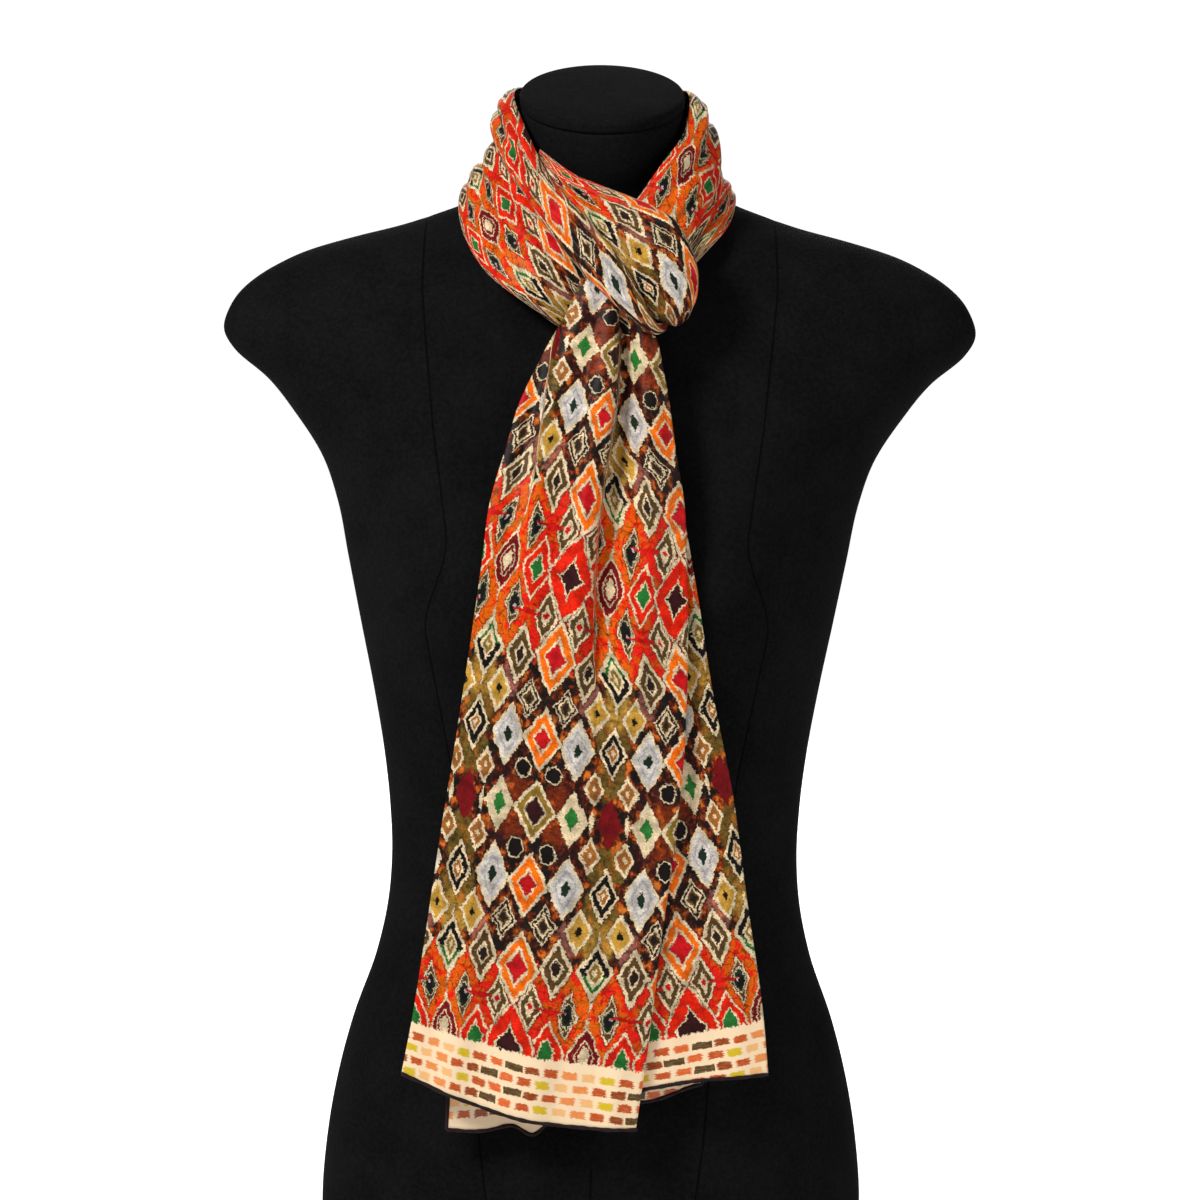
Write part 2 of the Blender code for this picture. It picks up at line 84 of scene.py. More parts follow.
# The dress form in level sections from its base to its neck: half its width, its reach to the
# front and back, where it is widest, how boxy it is, and its lean in degrees.
TORSO_COLUMNS = ("height", "half", "front", "back", "middle", "full", "tilt")
TORSO = (
    (0, 150, 92, 96, 4, 2.2, 0),
    (6, 158, 99, 103, 4, 2.2, 0),
    (25, 162, 103, 108, 4, 2.2, 0),
    (50, 163, 106, 111, 4, 2.2, 0),
    (85, 160.5, 107, 112, 4, 2.2, 0),
    (120, 155, 104, 108, 3, 2.2, 0),
    (160, 145, 98, 99, 2, 2.2, 0),
    (200, 131, 91, 87, 0, 2.2, 0),
    (232, 124, 87, 79, -2, 2.2, 0),
    (262, 121.8, 86, 75, -3, 2.2, 0),
    (290, 123, 89, 75, -3, 2.2, 0),
    (325, 127, 94, 80, -2, 2.2, 0),
    (362, 133.5, 99, 89, 0, 2.2, 0),
    (402, 141.7, 102, 97, 2, 2.2, 0),
    (440, 149.3, 101, 103, 4, 2.3, 0),
    (474, 156.2, 97, 106, 6, 2.4, 0),
    (500, 165.5, 92, 106, 8, 2.5, 0),
    (524, 181, 86, 104, 9, 2.6, 0),
    (546, 199, 79, 101, 10, 2.6, 0),
    (562, 218, 73, 98, 10, 2.6, 0),
    (573, 224.5, 69, 96, 10, 2.6, 0),
    (586, 222, 64, 92, 11, 2.5, 0),
    (600, 212, 58, 88, 12, 2.3, 0),
    (612, 195, 53, 85, 13, 2.1, 0),
    (622, 173.6, 48, 82, 14, 1.9, 0),
    (630, 147, 44, 79, 15, 1.75, 0),
    (637, 120, 41, 76, 16, 1.65, 0),
    (644, 98, 40, 73, 16, 1.6, 1),
    (651, 78, 41, 70, 16, 1.7, 3),
    (660, 62, 43, 67, 14, 1.9, 6),
    (673, 54, 47, 63, 9, 2.0, 10),
    (690, 50, 51, 59, 4, 2.0, 15),
    (709, 48.5, 55, 55, 0, 2.0, 18.8),
)
BUST = {"across": 76, "height": 428, "swell": 22, "wide": 40, "tall": 50, "side_fade": 0.5}

# The cover's long seams: how far from the middle they run at each height.
SEAM_COLUMNS = ("height", "across")
LONG_SEAM = (
    (0, 56), (55, 59), (100, 65), (180, 71), (250, 76), (315, 83), (357, 91), (400, 99),
    (450, 106), (520, 116), (600, 124), (709, 124),
)
SEAM_TOP, SEAM_FADE = 400, 60
CENTRE_SEAM_TOP = 95
# How far a seam is moved away from its own line past the place where it ends.
LONG_SEAM_AWAY, CENTRE_SEAM_AWAY = 20, 30
SEAM_WIDTH, SEAM_DEPTH = 2.2, 0.5
# Half the form's depth, as it counts for the direction in which a seam is pressed.
SEAM_REACH = 100

# The neck cap: how far it stands out past the neck in millimetres, its gap above the neck in
# metres, and its padding, as how far in each step lies and what share of the crown it rises.
CAP_OVERHANG = 0.5
CAP_GAP = 0.0003
CAP_AROUND, CAP_RIM_STEPS = 128, 6
CAP_PADDING = ((0.004, 0.45), (0.010, 0.35), (0.014, 0.2))

# The rolls of cloth round the neck, a row to a station: the two edges of the roll, how far it
# bulges between them, and how far the cloth turns round each edge, in degrees. Behind the neck
# the lower edges turn in further than those of the part's own solids.
ROLL_COLUMNS = (
    "upper_x", "upper_y", "upper_z", "lower_x", "lower_y", "lower_z",
    "bulge", "upper_turn", "lower_turn",
)
UPPER_ROLL = (
    (6, -64, 636, 34, -72, 598, 3, 85, 95),
    (18, -61, 650, 48, -68, 620, 4, 85, 96),
    (34, -52, 673, 58, -52, 641, 6, 85, 98),
    (47, -28, 692, 68, -20, 661, 7, 85, 98),
    (51, 4, 714, 68, 5, 682, 7, 85, 98),
    (38, 44, 719, 52, 58, 688, 8, 88, 124),
    (0, 61, 721, 0, 77, 690, 9, 90, 98),
    (-39, 44, 720, -53, 58, 692, 8, 88, 124),
    (-51.5, 4, 715, -64, 4, 693, 7, 85, 98),
    (-44, -32, 694, -56, -35, 672, 8, 88, 100),
    (-28.6, -62, 664, -39, -66, 647, 9, 90, 104),
    (-5, -86, 639, -20, -89, 622, 9, 92, 110),
    (13, -99, 616, -3, -101, 604, 9, 94, 122),
    (25, -105, 596, 14, -106, 588, 7, 92, 122),
    (32, -103, 583, 27, -105, 577, 5, 90, 112),
    (38, -94, 583, 34, -95, 577, 3, 88, 96),
)
LOWER_COLUMNS = (
    "lower_x", "lower_y", "lower_z", "bulge", "upper_turn", "lower_turn", "tuck_in", "tuck_up",
)
LOWER_ROLL = (
    (30, -70, 588, 2, 80, 92, 7, 2),
    (44, -68, 604, 3, 80, 94, 7, 2),
    (60, -58, 621.5, 4, 80, 98, 8, 3),
    (75, -28, 638, 5, 80, 98, 9, 4),
    (79.5, 6, 652.6, 5, 80, 98, 9, 4),
    (67, 62, 643.5, 7, 80, 116, 9, 4),
    (0, 88, 629, 9, 80, 130, 9, 4),
    (-71, 62, 645.8, 8, 80, 134, 9, 4),
    (-83.5, 4, 651.6, 6, 80, 98, 9, 4),
    (-80, -38, 631, 7, 80, 104, 10, 4),
    (-65, -68, 609, 7, 80, 112, 11, 4),
    (-42, -82, 592, 6, 80, 112, 13, 4),
    (-24, -77.5, 579, 3, 80, 98, 19, 4),
)
CROSS_ROLL = (
    (-36, -43, 682, -38, -47, 672, 1, 88, 82),
    (-18, -57, 669, -29, -58, 655, 4, 94, 80),
    (0, -65, 661, -10, -76, 634, 6, 104, 80),
    (18, -72, 654, 2, -87, 620, 8, 114, 80),
    (32, -77, 648, 12, -93, 608, 10, 122, 80),
    (43, -82, 641, 18, -95, 600, 11, 127, 80),
    (51, -85, 628, 23.5, -95.5, 593.5, 12, 130, 80),
    (55.5, -85, 612, 27, -95.5, 588, 12, 130, 80),
    (54, -84, 600, 31.5, -93, 585, 11, 127, 80),
    (49.5, -82.5, 592, 37, -87, 583.5, 8, 118, 82),
    (44.5, -79, 588.5, 41, -82, 584.5, 4, 100, 84),
)

# Folds. run_start and run_end: where a fold starts and ends along the cloth, from 0 to 1.
# across_start and across_end: where it lies between the two edges at each end. wide: half its
# width, in parts of a roll's width or in millimetres on a hanging end. deep: in millimetres,
# negative for a ridge. The folds of the part's own solids are among them.
FOLD_COLUMNS = ("run_start", "run_end", "across_start", "across_end", "wide", "deep")
UPPER_FOLDS = (
    (0.02, 0.36, 0.30, 0.66, 0.09, 3.2),
    (0.16, 0.44, 0.66, 0.36, 0.07, 2.0),
    (0.36, 0.66, 0.40, 0.58, 0.10, 3.0),
    (0.56, 0.86, 0.64, 0.38, 0.10, 3.0),
    (0.78, 0.99, 0.66, 0.62, 0.10, 2.0),
    (0.00, 0.20, 0.62, 0.80, 0.045, 2.0),
    (0.10, 0.30, 0.20, 0.34, 0.05, -1.2),
    (0.24, 0.40, 0.84, 0.62, 0.045, 1.8),
    (0.30, 0.52, 0.22, 0.16, 0.05, 1.9),
    (0.42, 0.62, 0.74, 0.80, 0.05, 1.9),
    (0.55, 0.74, 0.30, 0.22, 0.045, 1.8),
    (0.66, 0.94, 0.24, 0.30, 0.055, 2.3),
    (0.70, 0.90, 0.80, 0.74, 0.045, 2.0),
    (0.84, 0.99, 0.44, 0.48, 0.04, -0.9),
)
LOWER_FOLDS = (
    (0.02, 0.36, 0.50, 0.64, 0.09, 2.6),
    (0.26, 0.54, 0.66, 0.44, 0.09, 3.6),
    (0.40, 0.66, 0.34, 0.70, 0.08, 3.0),
    (0.56, 0.90, 0.40, 0.60, 0.07, 3.4),
    (0.68, 0.99, 0.72, 0.40, 0.07, 3.0),
    (0.04, 0.30, 0.78, 0.84, 0.045, 1.9),
    (0.14, 0.36, 0.34, 0.42, 0.045, 1.8),
    (0.34, 0.58, 0.80, 0.72, 0.05, 2.1),
    (0.52, 0.70, 0.54, 0.48, 0.05, 1.8),
    (0.62, 0.82, 0.76, 0.84, 0.045, 2.0),
    (0.74, 0.98, 0.24, 0.30, 0.05, 2.2),
    (0.80, 0.99, 0.88, 0.66, 0.045, 1.8),
    (0.86, 0.99, 0.56, 0.50, 0.035, -0.9),
)
CROSS_FOLDS = (
    (0.10, 0.86, 0.52, 0.34, 0.07, 3.2),
    (0.36, 0.98, 0.80, 0.58, 0.07, 3.2),
    (0.55, 0.97, 0.22, 0.16, 0.06, 1.6),
    (0.20, 0.70, 0.66, 0.62, 0.035, 1.6),
    (0.60, 0.99, 0.46, 0.44, 0.035, 1.7),
    (0.30, 0.64, 0.26, 0.20, 0.03, 0.9),
)

# The hanging ends, a row to a section from the knot to the hem.
TAIL_COLUMNS = ("left_x", "left_z", "right_x", "right_z", "front_y", "edge_drop")
TAIL_FRONT = (
    (-11, 608, 18, 598, -89, 2),
    (-20, 586, 26, 584, -95, 3),
    (-28.4, 572, 31.5, 570, -100, 5),
    (-37, 555, 34.8, 555, -106, 7),
    (-45, 538, 38, 538, -112, 8),
    (-53.3, 510, 42, 510, -119, 8),
    (-61.5, 481, 47, 481, -126, 6),
    (-66, 445, 49, 445, -130, 4),
    (-72, 400, 50, 400, -132, 3),
    (-80, 344, 49, 344, -132, 3),
    (-89, 285, 44, 285, -131, 3),
    (-97, 228, 37, 230, -130, 3),
    (-103.6, 184, 31, 175, -130, 3),
    (-109.8, 150.2, 23.4, 118.4, -130, 3),
)
TAIL_RIGHT = (
    (10, 556, 33, 556, -91, 2),
    (14, 538, 37.8, 538, -96, 2),
    (17, 510, 43.2, 510, -104, 3),
    (20, 481, 48, 481, -112, 3),
    (22, 426, 58, 426, -121.5, 3),
    (20, 369, 67.6, 369, -122.5, 3),
    (18, 315, 79, 315, -122, 3),
    (12, 254, 88, 254, -121.5, 3),
    (2, 190, 98, 190, -121, 3),
    (-8, 132, 102, 150, -121, 3),
)
TAIL_BACK = (
    (-8, 590, 16, 588, -78, 1),
    (-20, 565, 26, 565, -83, 1),
    (-34, 538, 34, 538, -91, 1),
    (-44, 510, 38, 510, -99, 1),
    (-52, 481, 43, 481, -107.5, 1),
    (-58, 426, 50, 426, -115.5, 0),
    (-66, 344, 56, 344, -117, 1),
    (-75, 254, 60, 254, -116, 2),
    (-81, 184, 62, 190, -116, 2),
    (-84, 116, 64, 134, -116, 2),
)
HEM_WAVE_COLUMNS = ("across", "wide", "low")
BACK_HEM_WAVES = ((0.14, 0.13, 4), (0.34, 0.06, 9), (0.62, 0.14, -5), (1.0, 0.16, -9))

# The right edge of the front end turns under itself in a round fold, and so do the other edges.
EDGE_FOLD_RADIUS = 2.4
EDGE_FOLD_RETURN = 16
FRONT_FOLD_SHARE = 0.16

FRONT_FOLDS = (
    (0.12, 0.70, 0.52, 0.62, 4.5, 2.0),
    (-0.12, 0.58, 0.60, 0.46, 9.0, -5.5),
    (-0.12, 0.62, 0.99, 0.73, 9.0, -5.5),
    (-0.10, 0.50, 0.16, 0.30, 7.0, -3.0),
    (0.30, 1.20, 0.34, 0.30, 13.0, 2.6),
    (0.45, 1.25, 0.82, 0.74, 12.0, 2.4),
    (0.55, 1.30, 0.56, 0.52, 13.0, -2.4),
    (0.00, 0.30, 0.40, 0.46, 3.0, 1.6),
    (0.02, 0.34, 0.88, 0.90, 3.0, 1.4),
    (0.10, 0.44, 0.10, 0.12, 3.5, 1.4),
    (0.20, 0.62, 0.42, 0.40, 5.0, -1.2),
    (0.34, 0.80, 0.86, 0.92, 5.0, 1.2),
    (0.62, 1.20, 0.12, 0.10, 7.0, 1.6),
    (0.36, 1.30, 0.22, 0.20, 8.0, -1.8),
    (0.50, 1.30, 0.68, 0.64, 7.0, 1.8),
    (0.62, 1.30, 0.93, 0.88, 6.0, -1.4),
)
RIGHT_FOLDS = (
    (0.10, 1.20, 0.62, 0.60, 9.0, 2.6),
    (0.40, 1.30, 0.86, 0.84, 9.0, -2.0),
    (0.05, 0.60, 0.80, 0.76, 3.0, 1.2),
    (0.50, 1.20, 0.74, 0.70, 5.0, 1.0),
)
BACK_FOLDS = (
    (0.35, 1.30, 0.26, 0.27, 7.0, 2.6),
    (0.20, 1.20, 0.60, 0.62, 12.0, 2.0),
)

# Pleats that hide cloth on the front end: at each height, where the pleat's edge lies, how many
# columns of the print it hides, how deep the cloth lies beside the edge, and how wide that is.
TUCK_COLUMNS = ("height", "across", "hidden", "deep", "wide")
LEFT_TUCK = (
    (100, -60, 0.0, 0.0, 14), (380, -52, 0.0, 0.6, 14), (440, -46, 0.0, 1.6, 14),
    (468, -41, 0.0, 2.4, 14), (486, -38.5, 0.22, 3.2, 13), (510, -34.5, 0.5, 4.2, 12),
    (537, -31.5, 0.68, 4.8, 10), (571, -27, 0.8, 4.8, 8), (600, -18, 0.85, 4.0, 6),
)
MIDDLE_TUCK = (
    (100, 2, 0.0, 0.0, 16), (230, 3, 0.0, 0.8, 16), (300, 3, 0.0, 1.8, 16), (372, 0, 0.0, 3.0, 15),
    (390, -1, 0.2, 4.4, 16), (410, -1.5, 0.4, 6.0, 17), (440, -1, 0.45, 8.5, 18),
    (470, 1.5, 0.55, 10.5, 19), (495, 4, 0.6, 12.0, 18), (510, 7, 0.85, 12.5, 16),
    (537, 10.8, 1.1, 12.0, 13), (568, 11.8, 1.25, 10.0, 9), (590, 12, 1.3, 7.0, 7),
)
# Each pleat's table, and the side on which the cloth lies deep: -1 left, 1 right.
FRONT_PLEATS = ((LEFT_TUCK, -1), (MIDDLE_TUCK, 1))
PLEAT_EDGE = 1.5
PLEAT_POWER = 3.2
TUCK_EASE = 0.6

# Where the print lies on each piece, a row to a point: two numbers for the place on the piece,
# then the print's own column and row there. On an end the place is x and z. On a roll it is how
# far along the middle and how far across.
FRONT_PRINT = (
    (-26.6, 572.5, 0, 446), (-6.7, 570.8, 0.5, 446), (7.8, 561.2, 1, 446), (20.6, 559.1, 2.5, 446),
    (-28.5, 568.8, -1, 446), (-14.3, 587.1, 0.23, 466), (8, 585.5, 0.77, 469),
    (-40.4, 540.5, -1, 404),
    (-13, 535.8, 0.5, 405), (0.1, 548.8, 0.78, 423), (4.4, 534.3, 1, 404), (22.7, 521.2, 2.5, 405),
    (32.3, 537.4, 2.78, 423), (-40.9, 517, -0.73, 382), (-8.6, 514.4, 0.73, 382),
    (-27.5, 517.5, 0.27, 382), (32.3, 500.8, 2.73, 382), (15.5, 498.2, 2.27, 382),
    (-45.4, 495.6, -0.5, 360), (-24.3, 495, 0.5, 360), (-3.3, 486.1, 1, 356), (9.5, 475.7, 2, 360),
    (26, 478.3, 2.5, 360), (41.8, 478.8, 3, 356), (-52.9, 469.4, -0.27, 333),
    (-38.8, 469.9, 0.27, 333), (-20, 468.8, 0.77, 335), (-53.5, 446.8, 0, 311),
    (-64.6, 450.5, -0.5, 311), (-36.4, 444.2, 0.5, 311), (-13.5, 439.5, 1, 311),
    (9.5, 425.9, 2, 311), (27.3, 426.4, 2.5, 311), (46.6, 428.5, 3, 311),
    (-32.1, 417.5, 0.77, 287), (-6.2, 409.1, 1.23, 287), (1.3, 407.6, 1.73, 289),
    (-61.4, 399.2, 0, 262), (-44.1, 395, 0.5, 262), (-22.7, 392.4, 1, 266),
    (-4.8, 382.4, 1.5, 262), (10.5, 375.6, 2, 262), (30.3, 378.3, 2.5, 262), (46, 379.3, 3, 266),
    (-72.3, 313.1, 0, 176), (-56.2, 310, 0.5, 176), (-35.5, 303.7, 1, 176), (-12, 299, 1.5, 176),
    (9.2, 294.8, 2, 176), (31.5, 293.2, 2.5, 176), (42.9, 315.6, 2.78, 199),
    (-81.4, 224.9, 0, 90), (-65.6, 222.3, 0.5, 90), (-44.8, 212.5, 1, 86), (-20.5, 211.3, 1.5, 90),
    (2.2, 211, 2, 90), (24.6, 208.4, 2.5, 90), (-84.8, 180.9, 0, 41), (-99.7, 181.3, -0.5, 41),
    (-70.1, 174.5, 0.5, 41), (-50.1, 169.2, 1, 41), (-26.1, 163, 1.5, 41), (-4.9, 163.4, 2, 41),
    (15.3, 156.9, 2.5, 41), (-109.8, 150, -0.63, 0), (-87.3, 139.5, 0, 0), (-52.7, 125.9, 1, 0),
    (-8.3, 119.4, 2, 0), (23.4, 118.5, 2.68, 0),
)
RIGHT_PRINT = (
    (56.5, 404.9, 6, 262), (55, 380.4, 5.73, 240), (56, 315.2, 5.5, 176), (70.5, 324.5, 6, 176),
    (49.6, 292.5, 5.22, 153), (33.4, 172.9, 4.5, 41), (57.8, 177, 5, 41), (84.1, 181.4, 5.5, 41),
    (95.4, 186.5, 6, 41), (47.4, 225.5, 4.95, 86), (73.2, 229, 5.5, 90), (89, 234.7, 6, 90),
    (34.9, 135.5, 4.5, 0), (61.4, 139.9, 5, 0), (87.9, 144.3, 5.5, 0), (100.6, 148.5, 5.9, 0),
    (45, 520, 6, 380), (20, 520, 5.3, 380),
)
BACK_PRINT = (
    (-84, 116, 0, 0), (64, 134, 3.7, 0), (-60, 420, 0.6, 300), (50, 420, 3.4, 300),
    (0, 590, 2, 470),
)
FRONT_END = {
    "rows": TAIL_FRONT, "folds": FRONT_FOLDS, "sag": 9, "waves": (), "turned": FRONT_FOLD_SHARE,
    "anchors": FRONT_PRINT, "pleats": FRONT_PLEATS, "cut": (0.145, 0.475),
}
RIGHT_END = {
    "rows": TAIL_RIGHT, "folds": RIGHT_FOLDS, "sag": -3, "waves": (), "turned": 0,
    "anchors": RIGHT_PRINT, "pleats": (), "cut": (0.058, 0.425),
}
BACK_END = {
    "rows": TAIL_BACK, "folds": BACK_FOLDS, "sag": 0, "waves": BACK_HEM_WAVES, "turned": 0,
    "anchors": BACK_PRINT, "pleats": (), "cut": (0.110, 0.470),
}
UPPER_PRINT = (
    (37.5, 8, 0.77, -294), (46.3, 26, -0.27, -292), (58, 15.4, 0, -270), (68.6, 27.6, -0.5, -270),
    (89, 16.6, -0.27, -248), (41.6, 46, -0.5, -312), (216, 0, 0.5, -135), (216, 50, -0.75, -135),
    (343.5, 18.2, 0.28, -22), (365.8, 23, 0.5, 0), (365.8, 0, 1.05, 0), (365.8, 50, -0.1, 0),
    (402.7, 26, 0.77, 24), (430.8, 24.5, 1, 45), (456.6, 23.2, 1.25, 70), (484.2, 23.6, 1.5, 94),
    (484.2, 0, 2.05, 94), (484.2, 50, 0.9, 94), (527, 25, 1.7, 128),
)
LOWER_PRINT = (
    (123.4, 26.7, 0.5, -270), (78.3, 16.3, 0.73, -292), (250, 0, 1.4, -158), (250, 50, -0.9, -158),
    (385, 29.5, -0.3, -22), (390.4, 13.8, 0.73, -22), (409.4, 16.3, 0.5, 0), (405.6, 36.1, -0.5, 0),
    (414.9, 25.8, 0, 0), (432.8, 32.1, -0.27, 22), (434.5, 21.7, 0.27, 22), (463.3, 30.2, 0, 48),
    (443.2, 11.9, 0.9, 45),
)
CROSS_PRINT = (
    (40.5, 24.2, 0.27, 22), (62.7, 34.9, 0.0, 48), (75.1, 24.5, 0.5, 48), (100.5, 24.2, 0.75, 71),
    (90.4, 34.9, 0.27, 71), (114.5, 30.8, 0.5, 94), (109.1, 40.2, 0, 93), (122.2, 48, -0.22, 115),
    (0, 25, 0, -18),
)
ROLL_PRINT_WIDTH = 50
# How far the back end's print is washed toward grey: partly the paler wrong side of the silk,
# partly painted shade for the cooler tone it shows behind the other ends.
REVERSE_AND_SHADE_FADE = 0.06
# The rolls are this many rows further along the cloth, clear of the border.
ROLL_ROW_SHIFT = 4

# The print's own chart, for a quarter of the repeat, which is mirrored at its four sides. across
# and along: the middle of a motif, in millimetres from the red band's oval column. half_across
# and half_along: its size. power: 1 is a lozenge, 2 an oval, and less than 1 a star. side: -1
# for only the half that looks to the red band. rings: colours from the middle out, each followed
# by how far it reaches, as a share of the size.
CHART_COLUMNS = ("across", "along", "half_across", "half_along", "power", "side", "rings")
CHART = (
    (0, 0, 5.0, 25.5, 0.9, 0, ("cream", 0.96)),
    (0, 0, 8.6, 17.5, 1.25, 0,
     ("cream", 0.26, "wine", 0.42, "cream", 0.50, "wine", 0.84, "cream", 0.97)),
    (20.2, 0, 10.2, 19, 1, 0, ("green", 0.38, "cream", 0.47, "scarlet", 0.84, "cream", 0.98)),
    (40.5, 0, 14.4, 26, 1.12, 0, ("scarlet", 0.86, "cream", 0.97)),
    (40.5, 0, 8.8, 14.5, 0.72, 0, ("plum", 0.84, "cream", 0.96)),
    (11, 22, 6.6, 17, 1, 0, ("olive", 0.50, "umber", 0.74, "cream", 0.86)),
    (11, 22, 4.0, 8.0, 1.4, 0, ("ink", 0.5, "bottle", 0.84, "cream", 0.98)),
    (11.8, 23.5, 0.9, 1.2, 2, 0, ("grey", 0.95)),
    (31.2, 24.3, 7.4, 16.5, 1, 0, ("cream", 0.40, "umber", 0.74, "cream", 0.92)),
    (20.5, 24.3, 10.4, 1.5, 1.2, 0, ("blood", 0.95)),
    (31.2, 24.3, 2.8, 4.2, 1, 0, ("crimson", 0.62, "cream", 0.95)),
    (0, 48.6, 5.0, 25, 0.9, 0, ("cream", 0.96)),
    (0, 48.6, 10.4, 18.5, 1, 0,
     ("cream", 0.14, "olive", 0.32, "cream", 0.46, "ink", 0.76, "cream", 0.96)),
    (0, 48.6, 10.4, 18.5, 1, -1,
     ("cream", 0.16, "olive", 0.34, "cream", 0.56, "green", 0.72, "cream", 0.96)),
    (20.2, 48.6, 9.8, 20, 1, 0, ("soot", 0.26, "cream", 0.38, "umber", 0.68, "cream", 0.90)),
    (40.5, 45, 12.6, 23, 1.05, 0, ("cream", 0.52, "orange", 0.80, "cream", 0.95)),
    (40.5, 45, 6.6, 10, 0.85, 0, ("crimson", 0.95)),
    (11, 71, 8.0, 14.5, 1, 0, ("ink", 0.22, "ochre", 0.70, "cream", 0.95)),
    (29.6, 71.5, 8.6, 14, 0.9, 0,
     ("soot", 0.30, "umber", 0.46, "cream", 0.62, "soot", 0.80, "cream", 0.90)),
    (0, 93, 9.0, 18.5, 1, 0,
     ("cream", 0.14, "tan", 0.30, "cream", 0.42, "ink", 0.72, "cream", 0.90)),
    (20.2, 94.5, 10.6, 20, 1.05, 0,
     ("bottle", 0.24, "lavender", 0.46, "grey", 0.58, "lavender", 0.80, "cream", 0.94)),
    (40.5, 93, 12, 20.5, 1, 0, ("cream", 0.48, "orange", 0.80, "cream", 0.96)),
    (40.5, 93, 5.2, 8, 0.9, 0, ("crimson", 0.95)),
    (9.2, 115.5, 6.4, 11.5, 1, 0, ("cream", 0.20, "tan", 0.66, "cream", 0.94)),
    (31.6, 112, 5.4, 6.8, 2, 0, ("ink", 0.56, "cream", 0.76, "soot", 1.0)),
    (9.6, 135, 1.6, 8.0, 1, 0, ("cream", 0.95)),
    (0, 135, 6.6, 15.5, 1.1, 0, ("wine", 0.96)),
    (20.2, 135, 9.4, 18, 0.95, 0, ("leaf", 0.44, "cream", 0.95)),
    (40.5, 135, 12.2, 19, 1.05, 0, ("cream", 0.52, "olive", 0.80, "cream", 0.97)),
    (40.5, 135, 6.8, 10, 0.8, 0, ("plum", 0.92)),
)

# Patches of watercolour behind the motifs, as soft ovals of the chart.
PATCH_COLUMNS = ("across", "along", "half_across", "half_along", "colour")
PATCHES = (
    (40.5, 70, 17, 20, "ink"),
    (0, 75, 13, 25, "olive"),
    (2, 66, 7, 14, "ochre"),
    (17, 62, 6.5, 13, "rose"),
    (0, 108, 10, 17, "olive"),
    (20.5, 118, 9, 12, "plum"),
    (29, 130, 8, 16, "rust"),
    (33, 96, 6, 12, "ink"),
)

# The border's dashes, in the order in which they come round, and half the length of each.
DASHES = (
    ("bronze", 5.6), ("chestnut", 3.7), ("brick", 3.5), ("peach", 3.6),
    ("pale_peach", 3.3), ("yellow", 3.6), ("brick", 3.7), ("coral", 3.4),
)
DASH_ROWS = 4
# How far the rows of dashes lie apart, where the first one is, and half a dash's width.
DASH_PITCH, DASH_FIRST, DASH_HALF = 7.4, 6.5, 2.2
# Where the order of the dashes starts in the even rows, which run backwards, and in the odd ones.
DASH_STARTS = (0.375, 0.55)
# How much of the motifs' stray the dashes take over, and how far their noises are drawn out.
DASH_STRAY = 0.6
BRUSH_STRETCH, DASH_WASH_STRETCH = 0.12, 0.2
# How far the border reaches from the hem.
BORDER = 36.5

# The thin dark outline of a motif, in millimetres, and how strong it is.
OUTLINE, OUTLINE_STRENGTH = 0.65, 0.8
# Where a motif with only one half ends, from its own middle.
HALF_MOTIF_EDGE = -2.0
# How far a wash moves the patches' edges, and what is taken off again for its mean.
PATCH_STRAY, PATCH_PULL = 1.5, 0.75
# How far the red band's edge is from its middle at the least, and how much further it points.
BAND_EDGE, BAND_RISE = 37.0, 15
# How much redder the red band is in the column of the large stars than in the oval one.
RED_ACROSS = 0.35
# The grounds of the two bands, from the least to the most of their washes.
RED_STOPS = ((0.24, "orange"), (0.46, "scarlet"), (0.9, "crimson"))
DARK_STOPS = ((0.1, "ink"), (0.36, "soot"), (0.54, "mahogany"), (0.76, "rust"), (0.95, "amber"))
# How the noises of the dark band and of the border's brink are drawn out.
DARK_STRETCH = (1.0, 0.7, 1.0)
BRINK_STRETCH = 0.2
# How far the print is feathered, in parts of the settings' feathering, and how much of the
# broader one the border takes over.
FEATHERS = {"stray": 3.0, "drift": 2.6}
BORDER_DRIFT = 0.6

# What a noise does to the thing it moves: its factor, and what is added to that.
SHIFTS = {"red": (1.6, -0.55), "band": (10.0, -5.0), "brink": (5.0, -2.5), "brush": (4.0, -2.1)}

# The noises: scale, detail and roughness. The print's own are to a millimetre of cloth, and the
# last six, of the finishes, to a metre.
NOISES = {
    "stray": (0.7, 2.0, 0.6),
    "drift": (0.16, 1.0, 0.5),
    "wash": (0.13, 3.0, 0.6),
    "dark": (0.17, 3.0, 0.62),
    "fine": (0.36, 3.0, 0.65),
    "marbling": (0.15, 1.5, 0.5),
    "brink": (0.7, 1.0, 0.5),
    "grain": (0.9, 2.0, 0.7),
    "brush": (1.5, 1.0, 0.5),
    "dashes": (1.3, 2.0, 0.5),
    "crepe": (260.0, 3.0, 0.6),
    "ripple": (70.0, 2.0, 0.5),
    "hem": (400.0, 2.0, 0.5),
    "jersey": (420.0, 3.0, 0.65),
    "cloud": (28.0, 2.0, 0.5),
    "floor": (2.0, 2.0, 0.5),
}

